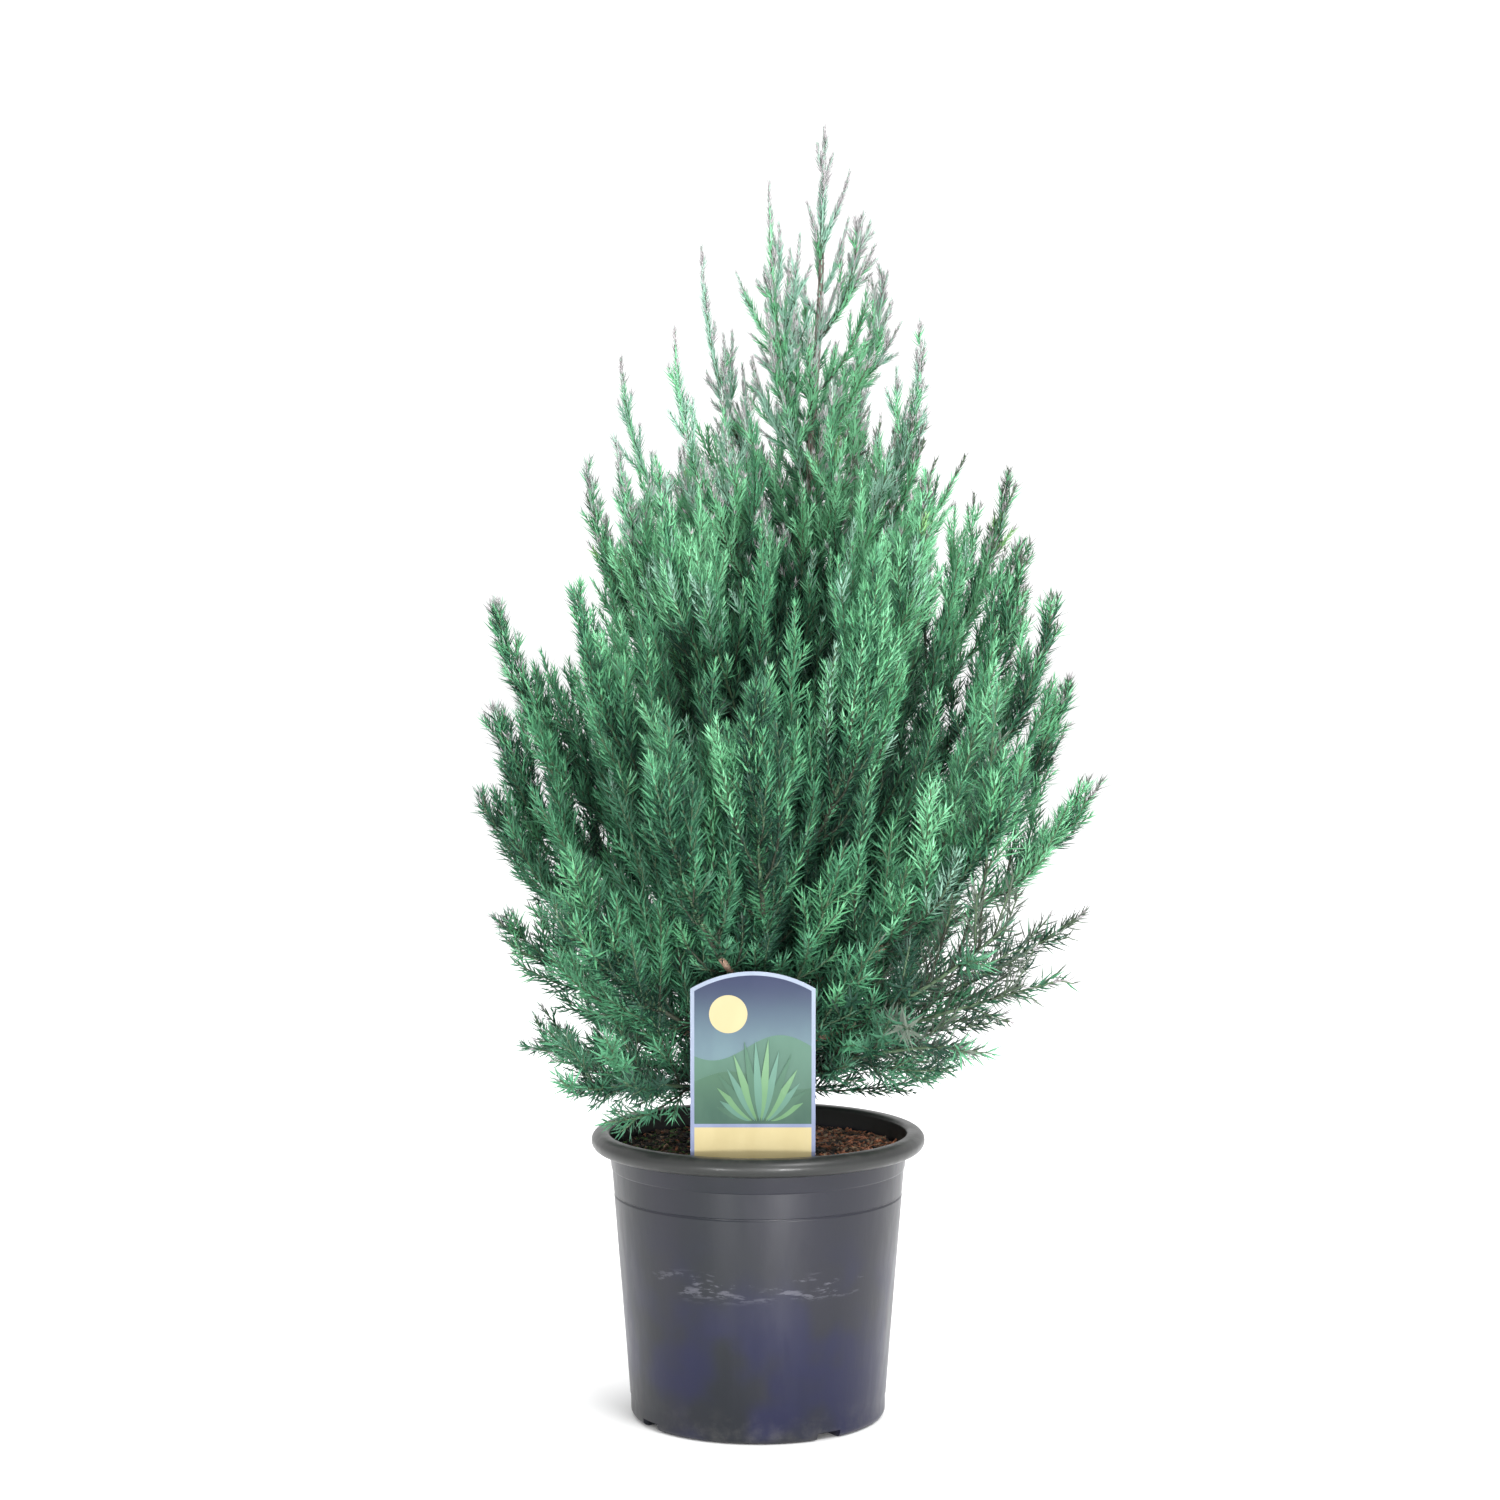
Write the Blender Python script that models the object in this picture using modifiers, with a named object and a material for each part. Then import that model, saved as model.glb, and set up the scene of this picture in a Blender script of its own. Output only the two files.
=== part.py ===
"""Chinese juniper in a nursery pot, as an assembly of separate solids.

Metres, +Z up. The origin is the centre of the pot's underside, and the front faces -Y.
A limb's azimuth is counted in degrees from the front towards +X, so 90 is the right-hand side.

The plant is built the way it grows. A trunk leans a little to the right. Tiers of limbs leave
it, run out and bend upwards. The first stretch of a long limb is a bare bough, and the rest is
the stem of a mass of foliage, which swells into a dense heart set about with sprays of needles.
"""

import math
import random
from typing import NamedTuple

import bmesh
import bpy
import numpy as np
from mathutils import Matrix, Vector

SEED = 7
GAP = 0.0003  # between neighbours that touch on the real plant

# Pot: a turned plastic shell with a rolled rim and drainage notches in its foot
POT_HEIGHT = 0.163
RIM_RADIUS = 0.095
RIM_DEPTH = 0.0105
RIM_INNER_RADIUS = 0.0845
RIM_INNER_ROUND = 0.0026
RIM_UNDERCUT = 0.0006  # thickening where the rolled rim meets the wall
WALL = 0.0016
WALL_TAPER = 0.078  # gain in radius for each metre of height
WALL_FOOT_RADIUS = 0.0722
SHOULDER_HEIGHT = 0.138  # a step in the wall, below the rim
SHOULDER_STEP = 0.0006
SHOULDER_RAMP = 0.0010  # height over which the step is made
FOOT_HEIGHT = 0.0125  # the plain wall ends here, above the rounded foot
FOOT_RADIUS = 0.0690
FLOOR_RADIUS = 0.0640  # the flat of the floor, inside
POT_FACETS = 32
TURNED_SHARP = 35.0  # edges sharper than this many degrees stay crisp
NOTCHES = 4
NOTCH_FIRST = 33.0
NOTCH_WIDTH = 0.015
NOTCH_HEIGHT = 0.0045
NOTCH_INNER_RADIUS = 0.060

# Soil: the root ball, with a low mound round the trunk
SOIL_EDGE_HEIGHT = 0.1505
SOIL_MOUND_HEIGHT = 0.1550
SOIL_FLOOR = WALL + GAP
SOIL_INSET = WALL + 2 * GAP  # from the wall's outer face
SOIL_RISE = ((0.22, 1.0), (0.55, 0.55), (0.85, 0.10))  # (share of the radius, of the mound)
SOIL_FACETS = 28

# Plant label: a domed plastic card on a tapering stake
LABEL_CENTRE_X = -0.003
LABEL_Y = -0.0735
LABEL_WIDTH = 0.0685
LABEL_THICKNESS = 0.0008
LABEL_TOP = 0.2635
LABEL_DOME = 0.0095
LABEL_DOME_POINTS = 9
LABEL_SHOULDER = 0.1560  # the card narrows to its stake below this height
LABEL_STAKE_WIDTH = 0.012
LABEL_STAKE_NECK = 0.030  # height over which it narrows
LABEL_STAKE_FOOT = 0.085
LABEL_CLEARANCE = 0.003  # foliage stays this far from the card
LABEL_SIGHT = 0.14  # slope at which one looks down on the card

# Trunk
TRUNK_FOOT = SOIL_MOUND_HEIGHT + GAP
TRUNK_TIP = 0.655
TRUNK_FOOT_X = 0.004
TRUNK_BOW = 0.006
TRUNK_RADIUS = 0.0068
TRUNK_TIP_RADIUS = 0.0014
TRUNK_FLARE = 0.0042
FLARE_HEIGHT = 0.010
FLARE_CROWDING = 1.6  # rings stand closer together where the trunk flares
TRUNK_STATIONS = 12
TRUNK_SIDES = 9
LEADER_TOP = 0.728
LEADER_TOP_X = 0.037

# Limbs
BOUGH_RADIUS = 0.0030
BOUGH_STATIONS = 5
BOUGH_SIDES = 6
LIMB_SHARP = 50.0
STEM_RADIUS = 0.0016
STEM_TIP_RADIUS = 0.0010
START_STEP = 0.0005  # shares of a limb tried in turn for where it comes out of the trunk
DEPTH_SHARE = 0.95  # the crown's depth over its width
SIDE_JITTER = 8.0  # degrees that a limb may stray from its even place
REACH_JITTER = 0.10
TIP_JITTER = 0.012
FOOT_JITTER = 0.004

# Heart of a mass, and its sprays of needles
HEART_RADIUS = 0.0160
HEART_START = 0.10  # share of the stem before the heart begins
HEART_FULLNESS = 0.8  # under 1, the heart stays wide nearer to its ends
HEART_STATIONS = 7
HEART_SIDES = 5
HEART_NEEDLE = 0.023  # reach of the tufts that stand out of the heart
HEART_SWEEP = 1.30  # how far they lean forwards, over their reach
HEART_FLUSH = 0.0035  # the stem is bare where the heart is slimmer than this
END_SPRAY_SHARE = 0.34  # share of a stem that its end spray takes up
SPRAY_SPACING = 0.042  # along a stem
FIRST_SPRAY = 0.10
FEWEST_SPRAYS = 2
SPRAY_LENGTH = 0.078
SPRAY_TIP_SHARE = 0.62  # length of the last side spray over that of the first
SPRAY_ANGLE = 46.0
SPRAY_TIP_ANGLE = 28.0
SPRAY_UPTURN = 0.22
SPRAY_SLENDER = 0.4  # length that a spray keeps where the needles are shortest
SPRAY_TWIST = 50.0
SPRAY_LENGTH_JITTER = 0.15
SPRAY_ANGLE_JITTER = 0.10
SPRAY_SIDE = Vector((0.31, 0.52, 0.79))  # where the spiral is counted from, along no limb
SPRAY_SINK = 0.0010
GOLDEN_ANGLE = 137.508
TWIG_RADIUS = 0.0015
TWIG_TIP_RADIUS = 0.0008
WHORL_SPACING = 0.027
NEEDLE_REACH = 0.0160
NEEDLE_SWEEP = 1.1  # how far a needle leans forwards, over its reach
NEEDLE_FALL = 0.45  # share by which the last needles are shorter
SPACE_MARGIN = 0.0008  # kept from the border to the next mass, and from the wood
FOLIAGE_FLOOR = POT_HEIGHT + 0.006
SHORTER = (1.0, 0.8, 0.6, 0.45)  # lengths to try before a spray is skipped
WAY_OUT = (0.4, 0.7, 1.0)  # where a tuft is tested on its way out of the heart
STEM_SAMPLES = 9  # points along a stem from which the space of its mass is told
AXIS_SAMPLES = 60


class Tier(NamedTuple):
    """One ring of limbs. left and right are (x, z) of the tips at the sides of the crown."""

    name: str
    count: int
    first: float  # azimuth of the first limb
    foot: float  # height at which the limbs leave the trunk
    left: tuple
    right: tuple
    elbow: float  # share of the reach at which a limb bends
    lift: float  # share of the rise gained by then
    bough: float  # share of the limb that is bare bough, 0 where there is none
    needle: float  # reach of the needles, as a share of NEEDLE_REACH
    parting: float  # degrees by which the front limbs stand off to either side of the label


TIERS = (
    Tier("skirt", 5, 108.0, 0.186, (-0.138, 0.203), (0.150, 0.223), 0.50, 0.90, 0.0, 0.9, 34.0),
    Tier("low", 6, 90.0, 0.204, (-0.152, 0.286), (0.186, 0.288), 0.60, 0.36, 0.34, 1.0, 34.0),
    Tier("broad", 6, 96.0, 0.232, (-0.158, 0.355), (0.196, 0.358), 0.72, 0.34, 0.38, 1.0, 12.0),
    Tier("flank", 4, 90.0, 0.260, (-0.150, 0.405), (0.176, 0.420), 0.86, 0.30, 0.0, 1.1, 0.0),
    Tier("middle", 6, 84.0, 0.296, (-0.151, 0.463), (0.148, 0.495), 0.90, 0.34, 0.0, 1.1, 0.0),
    Tier("upper", 5, 108.0, 0.365, (-0.104, 0.535), (0.150, 0.528), 0.90, 0.34, 0.0, 1.0, 0.0),
    Tier("shoulder", 4, 60.0, 0.440, (-0.092, 0.604), (0.103, 0.610), 0.95, 0.36, 0.0, 0.9, 0.0),
)


class Single(NamedTuple):
    """A limb that stands by itself, with the height of its foot and the place of its tip."""

    name: str
    foot: float
    tip: tuple
    elbow: float
    lift: float
    needle: float


SINGLES = (
    Single("skirt_6", 0.197, (0.172, -0.022, 0.252), 0.55, 0.60, 0.9),
    Single("flank_5", 0.283, (0.164, -0.030, 0.462), 0.88, 0.32, 1.1),
    Single("upper_6", 0.376, (-0.077, -0.046, 0.550), 0.90, 0.34, 1.0),
    Single("top_left", 0.490, (-0.032, 0.012, 0.663), 0.95, 0.40, 0.5),
    Single("top_second", 0.530, (0.006, -0.022, 0.695), 0.95, 0.40, 0.5),
    Single("top_right", 0.610, (0.057, -0.004, 0.677), 0.95, 0.40, 0.5),
    Single("top_back", 0.545, (0.071, 0.020, 0.648), 0.95, 0.40, 0.5),
)
LEADER_NEEDLE = 0.3

BARK = ("bark", (0.16, 0.10, 0.07, 1.0), 0.85, 0.0)
FOLIAGE = ("foliage", (0.06, 0.24, 0.12, 1.0), 0.60, 0.0)
PLASTIC = ("pot_plastic", (0.045, 0.045, 0.065, 1.0), 0.42, 0.0)
COMPOST = ("compost", (0.05, 0.03, 0.02, 1.0), 0.95, 0.0)
CARD = ("label_card", (0.45, 0.58, 0.55, 1.0), 0.35, 0.0)


# Scene


def clear_scene():
    for obj in list(bpy.data.objects):
        bpy.data.objects.remove(obj)


def material(name, colour, roughness, metallic):
    """A Principled material, made once for each name."""
    found = bpy.data.materials.get(name)
    if found:
        return found
    made = bpy.data.materials.new(name)
    made.use_nodes = True
    shader = made.node_tree.nodes["Principled BSDF"]
    shader.inputs["Base Color"].default_value = colour
    shader.inputs["Roughness"].default_value = roughness
    shader.inputs["Metallic"].default_value = metallic
    return made


def new_collection(name):
    made = bpy.data.collections.new(name)
    bpy.context.scene.collection.children.link(made)
    return made


def new_object(name, data, collection, location=(0, 0, 0)):
    obj = bpy.data.objects.new(name, data)
    obj.location = location
    collection.objects.link(obj)
    return obj


def as_mesh(obj, collection):
    """The object with its modifiers or bevel turned into a closed mesh. The original goes."""
    bpy.context.view_layer.update()
    evaluated = obj.evaluated_get(bpy.context.evaluated_depsgraph_get())
    mesh = bpy.data.meshes.new_from_object(evaluated)
    work = bmesh.new()
    work.from_mesh(mesh)
    bmesh.ops.remove_doubles(work, verts=work.verts, dist=1e-6)
    bmesh.ops.recalc_face_normals(work, faces=work.faces)
    work.to_mesh(mesh)
    work.free()
    name, matrix = obj.name, obj.matrix_world.copy()
    bpy.data.objects.remove(obj)
    made = new_object(name, mesh, collection)
    made.matrix_world = matrix
    return made


def boolean(obj, operation, **target):
    modifier = obj.modifiers.new(operation.lower(), "BOOLEAN")
    modifier.operation = operation
    for key, value in target.items():
        setattr(modifier, key, value)


# Turned pieces


def turned(name, profile, facets, collection, finish):
    """A profile of (radius, height) turned about Z. It runs down its outer side."""
    mesh = bpy.data.meshes.new(name)
    edges = [(i, i + 1) for i in range(len(profile) - 1)]
    mesh.from_pydata([(radius, 0.0, height) for radius, height in profile], edges, [])
    obj = new_object(name, mesh, collection)
    screw = obj.modifiers.new("turn", "SCREW")
    screw.steps = screw.render_steps = facets
    screw.use_merge_vertices = True
    screw.merge_threshold = 1e-5
    made = as_mesh(obj, collection)
    made.data.materials.append(material(*finish))
    made.data.shade_smooth()
    made.data.set_sharp_from_angle(angle=math.radians(TURNED_SHARP))
    return made


def wall_radius(height):
    """Outer radius of the plain wall, which steps out above the shoulder."""
    step = SHOULDER_STEP if height > SHOULDER_HEIGHT else 0.0
    return WALL_FOOT_RADIUS + WALL_TAPER * height + step


def arc(centre, radius, start, end, count):
    """Points on an arc in the profile's plane, from start to end degrees."""
    angles = [math.radians(start + (end - start) * i / (count - 1)) for i in range(count)]
    return [(centre[0] + radius * math.cos(a), centre[1] + radius * math.sin(a)) for a in angles]


def pot_profile():
    """Up the inside from the floor, over the rolled rim, and down the outside to the foot."""
    lip = RIM_DEPTH / 2
    shoulder = SHOULDER_HEIGHT - SHOULDER_RAMP / 2
    under_rim = POT_HEIGHT - RIM_DEPTH
    inside = [
        (0.0, WALL),
        (FLOOR_RADIUS, WALL),
        (wall_radius(FOOT_HEIGHT) - WALL, FOOT_HEIGHT),
        (wall_radius(SHOULDER_HEIGHT) - WALL, SHOULDER_HEIGHT),
        (RIM_INNER_RADIUS, under_rim),
    ]
    inner_centre = (RIM_INNER_RADIUS + RIM_INNER_ROUND, POT_HEIGHT - RIM_INNER_ROUND)
    rim = arc(inner_centre, RIM_INNER_ROUND, 180, 90, 4)
    rim += arc((RIM_RADIUS - lip, POT_HEIGHT - lip), lip, 80, -70, 6)
    outside = [
        (wall_radius(under_rim) + RIM_UNDERCUT, under_rim),
        (wall_radius(shoulder + SHOULDER_RAMP), shoulder + SHOULDER_RAMP),
        (wall_radius(shoulder), shoulder),
        (wall_radius(FOOT_HEIGHT), FOOT_HEIGHT),
    ]
    foot_round = wall_radius(FOOT_HEIGHT) - FOOT_RADIUS
    foot = arc((FOOT_RADIUS, foot_round), foot_round, 0, -90, 4)
    return inside + rim + outside + foot + [(0.0, 0.0)]


def build_pot(collection, cutters):
    """The pot, with notches cut through the corner of its floor and wall."""
    pot = turned("pot", pot_profile(), POT_FACETS, collection, PLASTIC)
    length = RIM_RADIUS - NOTCH_INNER_RADIUS
    for i in range(NOTCHES):
        azimuth = NOTCH_FIRST + 360 * i / NOTCHES
        bpy.ops.mesh.primitive_cube_add(size=1)
        cutter = bpy.context.object
        cutter.name = f"notch_cutter_{i + 1}"
        cutter.scale = (NOTCH_WIDTH, length, 2 * NOTCH_HEIGHT)
        cutter.location = outward(azimuth) * (NOTCH_INNER_RADIUS + length / 2)
        cutter.rotation_euler.z = math.radians(azimuth)
        cutter.hide_render = True
        cutter.display_type = "WIRE"
        for holder in cutter.users_collection:
            holder.objects.unlink(cutter)
        cutters.objects.link(cutter)
        boolean(pot, "DIFFERENCE", object=cutter)


def soil_profile():
    """From the mound out to its edge, then down just inside the pot's shell."""
    mound = SOIL_MOUND_HEIGHT - SOIL_EDGE_HEIGHT
    edge = wall_radius(SHOULDER_HEIGHT) - SOIL_INSET
    foot = wall_radius(FOOT_HEIGHT) - SOIL_INSET
    top = [(edge * share, SOIL_EDGE_HEIGHT + mound * rise) for share, rise in SOIL_RISE]
    return [
        (0.0, SOIL_MOUND_HEIGHT),
        *top,
        (edge, SOIL_EDGE_HEIGHT),
        (edge, SHOULDER_HEIGHT),
        (foot, FOOT_HEIGHT),
        (FLOOR_RADIUS - 4 * GAP, SOIL_FLOOR),
        (0.0, SOIL_FLOOR),
    ]


# Label


def label_outline():
    """Round the dome from the right, down the left side to the stake's point, and back up."""
    half = LABEL_WIDTH / 2
    dome_radius = (half**2 + LABEL_DOME**2) / (2 * LABEL_DOME)
    half_angle = math.degrees(math.asin(half / dome_radius))
    centre = (0.0, LABEL_TOP - dome_radius)
    ends = (90 - half_angle, 90 + half_angle)
    dome = arc(centre, dome_radius, *ends, LABEL_DOME_POINTS)
    stake = LABEL_STAKE_WIDTH / 2
    left = [
        (-half, LABEL_SHOULDER),
        (-stake, LABEL_SHOULDER - LABEL_STAKE_NECK),
        (-stake, LABEL_STAKE_FOOT + stake),
    ]
    return dome + left + [(0.0, LABEL_STAKE_FOOT)] + [(-x, z) for x, z in reversed(left)]


def card(name, outline, thickness, collection):
    """A flat outline in the XZ plane, filled and given its thickness."""
    curve = bpy.data.curves.new(name, "CURVE")
    curve.dimensions = "2D"
    curve.fill_mode = "BOTH"
    curve.extrude = thickness / 2
    spline = curve.splines.new("POLY")
    spline.points.add(len(outline) - 1)
    for point, (x, z) in zip(spline.points, outline):
        point.co = (x, z, 0.0, 1.0)
    spline.use_cyclic_u = True
    obj = new_object(name, curve, collection)
    obj.location = (LABEL_CENTRE_X, LABEL_Y, 0.0)
    obj.rotation_euler.x = math.radians(90)
    return as_mesh(obj, collection)


def build_label(collection, cutters, soil):
    """The label stands in a slot that is cut in the soil just wider than its stake."""
    label = card("plant_label", label_outline(), LABEL_THICKNESS, collection)
    label.data.materials.append(material(*CARD))
    half = LABEL_WIDTH / 2 + GAP
    stake = LABEL_STAKE_WIDTH / 2 + GAP
    neck = LABEL_SHOULDER - LABEL_STAKE_NECK - GAP
    left = [
        (-half, LABEL_TOP),
        (-half, LABEL_SHOULDER - GAP),
        (-stake, neck),
        (-stake, LABEL_STAKE_FOOT - GAP),
    ]
    outline = left + [(-x, z) for x, z in reversed(left)]
    cutter = card("label_slot_cutter", outline, LABEL_THICKNESS + 2 * GAP, cutters)
    cutter.hide_render = True
    cutter.display_type = "WIRE"
    boolean(soil, "DIFFERENCE", object=cutter)


# Limbs


def outward(azimuth):
    angle = math.radians(azimuth)
    return Vector((math.sin(angle), -math.cos(angle), 0.0))


def trunk_axis(height):
    """The middle of the trunk, and of the leader above it, at a height."""
    share = (height - TRUNK_FOOT) / (LEADER_TOP - TRUNK_FOOT)
    lean = (LEADER_TOP_X - TRUNK_FOOT_X) * share**2 * (3 - 2 * share)
    return Vector((TRUNK_FOOT_X + lean, TRUNK_BOW * math.sin(math.pi * share) ** 2, height))


def trunk_radius(height):
    share = (height - TRUNK_FOOT) / (TRUNK_TIP - TRUNK_FOOT)
    taper = TRUNK_RADIUS + (TRUNK_TIP_RADIUS - TRUNK_RADIUS) * share
    return taper + TRUNK_FLARE * math.exp(-(height - TRUNK_FOOT) / FLARE_HEIGHT)


class Limb(NamedTuple):
    """A limb's curve from the trunk's middle to its tip, and the shares where its parts lie."""

    name: str
    foot: Vector
    elbow: Vector
    tip: Vector
    start: float  # the curve has come out of the trunk
    fork: float  # the bough ends, and the stem of the mass begins
    needle: float  # reach of the needles, as a share of NEEDLE_REACH

    def at(self, share):
        rest = 1.0 - share
        return self.foot * rest**2 + self.elbow * (2 * rest * share) + self.tip * share**2

    def heading(self, share):
        return (self.at(share + 0.01) - self.at(share - 0.01)).normalized()

    def stretch(self, start, end, stations):
        return [self.at(start + (end - start) * i / (stations - 1)) for i in range(stations)]

    def length(self):
        line = self.stretch(0.0, 1.0, STEM_SAMPLES)
        return sum((b - a).length for a, b in zip(line, line[1:]))


def limb_between(name, foot_height, tip, elbow_share, lift, bough, needle):
    """A limb that runs out first and then turns up, or down where lift is over 1."""
    foot = trunk_axis(foot_height)
    span = tip - foot
    elbow = foot + Vector((span.x * elbow_share, span.y * elbow_share, span.z * lift))
    limb = Limb(name, foot, elbow, tip, 0.0, 0.0, needle)
    start = way_out_of_trunk(limb, BOUGH_RADIUS if bough else STEM_RADIUS)
    return limb._replace(start=start, fork=max(bough, start))


def way_out_of_trunk(limb, width):
    """The share of the curve at which the upper edge of the limb's end is clear of the trunk."""
    share = 0.0
    clear = -width
    while clear < GAP:
        share += START_STEP
        heading = limb.heading(share)
        upwards = (Vector((0, 0, 1)) - heading * heading.z).normalized()
        edge = limb.at(share) + upwards * width
        axis = trunk_axis(edge.z)
        clear = math.hypot(edge.x - axis.x, edge.y - axis.y) - trunk_radius(edge.z)
    return share


def tier_limb(tier, number, rng):
    azimuth = tier.first + 360 / tier.count * number
    side = math.sin(math.radians(azimuth))
    azimuth += tier.parting * side * max(math.cos(math.radians(azimuth)), 0.0)
    freedom = 1.0 - side**2  # the limbs at the sides keep to the tier's stated tips
    azimuth += SIDE_JITTER * freedom * rng.uniform(-1, 1)
    along = outward(azimuth)
    middle = (tier.right[0] + tier.left[0]) / 2
    half = (tier.right[0] - tier.left[0]) / 2 * (1.0 - REACH_JITTER * freedom * rng.random())
    height = tier.left[1] + (tier.right[1] - tier.left[1]) * (1 + along.x) / 2
    height += TIP_JITTER * freedom * rng.uniform(-1, 1)
    tip = Vector((middle + half * along.x, half * DEPTH_SHARE * along.y, height))
    foot = tier.foot + FOOT_JITTER * rng.uniform(-1, 1)
    name = f"{tier.name}_{number + 1}"
    return limb_between(name, foot, tip, tier.elbow, tier.lift, tier.bough, tier.needle)


def grow_limbs():
    """Every limb of every tier, then the single ones, then the leader on the trunk's tip."""
    rng = random.Random(SEED)
    limbs = [tier_limb(tier, i, rng) for tier in TIERS for i in range(tier.count)]
    for name, foot, tip, elbow, lift, needle in SINGLES:
        limbs.append(limb_between(name, foot, Vector(tip), elbow, lift, 0.0, needle))
    foot = trunk_axis(TRUNK_TIP + GAP)
    tip = trunk_axis(LEADER_TOP)
    limbs.append(Limb("leader", foot, (foot + tip) / 2, tip, 0.0, 0.0, LEADER_NEEDLE))
    return limbs


def tube(name, points, radii, sides, collection):
    """A tapering limb: a curve through the points with a regular section, made a mesh."""
    section = bpy.data.curves.new("section", "CURVE")
    section.dimensions = "2D"
    ring = section.splines.new("POLY")
    ring.points.add(sides - 1)
    for point, (x, y) in zip(ring.points, arc((0, 0), 1.0, 0, 360 - 360 / sides, sides)):
        point.co = (x, y, 0.0, 1.0)
    ring.use_cyclic_u = True
    shape = new_object("section", section, collection)
    curve = bpy.data.curves.new(name, "CURVE")
    curve.dimensions = "3D"
    curve.bevel_mode = "OBJECT"
    curve.bevel_object = shape
    curve.use_fill_caps = True
    spline = curve.splines.new("POLY")
    spline.points.add(len(points) - 1)
    for point, place, radius in zip(spline.points, points, radii):
        point.co = (*(place - points[0]), 1.0)
        point.radius = radius
    made = as_mesh(new_object(name, curve, collection, location=points[0]), collection)
    bpy.data.objects.remove(shape)
    return made


def tapered(first, last, stations):
    return [first + (last - first) * i / (stations - 1) for i in range(stations)]


def build_trunk(collection):
    rise = TRUNK_TIP - TRUNK_FOOT
    steps = [(i / (TRUNK_STATIONS - 1)) ** FLARE_CROWDING for i in range(TRUNK_STATIONS)]
    heights = [TRUNK_FOOT + rise * step for step in steps]
    points = [trunk_axis(height) for height in heights]
    radii = [trunk_radius(height) for height in heights]
    finish_limb(tube("trunk", points, radii, TRUNK_SIDES, collection))


def build_bough(limb, collection):
    points = limb.stretch(limb.start, limb.fork, BOUGH_STATIONS)
    radii = tapered(BOUGH_RADIUS, STEM_RADIUS, BOUGH_STATIONS)
    finish_limb(tube(f"bough_{limb.name}", points, radii, BOUGH_SIDES, collection))


def finish_limb(obj):
    obj.data.materials.append(material(*BARK))
    obj.data.shade_smooth()
    obj.data.set_sharp_from_angle(angle=math.radians(LIMB_SHARP))


# Foliage


def stretches(line, radii, owner):
    """Straight stretches of limb, each with a radius and the number of the limb it is part of."""
    return [(*a, *b, radius, owner) for a, b, radius in zip(line, line[1:], radii)]


def distances(points, rows):
    """How far each point is from each straight stretch, as a table."""
    starts = rows[:, 0:3]
    along = rows[:, 3:6] - starts
    offset = points[:, None, :] - starts[None]
    share = (offset * along).sum(2) / (along * along).sum(1)
    nearest = offset - np.clip(share, 0, 1)[..., None] * along
    return np.linalg.norm(nearest, axis=2)


class Crown:
    """What a mass has to keep clear of: the bare wood, the label, and the other masses."""

    def __init__(self, limbs):
        stems, wood = [], []
        for index, limb in enumerate(limbs):
            line = limb.stretch(limb.fork, 1.0, STEM_SAMPLES)
            stems += stretches(line, [0.0] * STEM_SAMPLES, index)
            if limb.fork > limb.start:
                line = limb.stretch(limb.start, limb.fork, BOUGH_STATIONS)
                wood += stretches(line, [BOUGH_RADIUS] * BOUGH_STATIONS, index)
        heights = tapered(TRUNK_FOOT, TRUNK_TIP, TRUNK_STATIONS)
        trunk = [trunk_axis(height) for height in heights]
        wood += stretches(trunk, [trunk_radius(height) for height in heights], len(limbs))
        self.stems, self.wood = np.array(stems), np.array(wood)

    def room(self, points, index):
        """At each point, the distance to spare before the next mass or the nearest wood."""
        table = distances(points, self.stems)
        mine = self.stems[:, 7] == index
        border = (table[:, ~mine].min(1) - table[:, mine].min(1)) / 2
        wood = (distances(points, self.wood) - self.wood[:, 6]).min(1)
        above = points[:, 2] - FOLIAGE_FLOOR
        return np.min([border, wood, card_distance(points), above], axis=0) - SPACE_MARGIN

    def holds(self, points, index):
        return not hides_label(points) and self.room(points, index).min() > 0


def card_distance(points):
    beside = np.maximum(np.abs(points[:, 0] - LABEL_CENTRE_X) - LABEL_WIDTH / 2, 0)
    above = np.maximum(points[:, 2] - LABEL_TOP, 0)
    away = np.sqrt(beside**2 + (points[:, 1] - LABEL_Y) ** 2 + above**2)
    return away - LABEL_CLEARANCE


def hides_label(points):
    """True if a point is on the label, or in front of it for someone who looks at it."""
    half = LABEL_WIDTH / 2 + LABEL_CLEARANCE
    beside = np.abs(points[:, 0] - LABEL_CENTRE_X) < half
    ahead = LABEL_Y + LABEL_CLEARANCE - points[:, 1]
    sight = LABEL_TOP + LABEL_CLEARANCE + LABEL_SIGHT * np.maximum(ahead, 0)
    return bool((beside & (ahead > 0) & (points[:, 2] < sight)).any())


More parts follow.
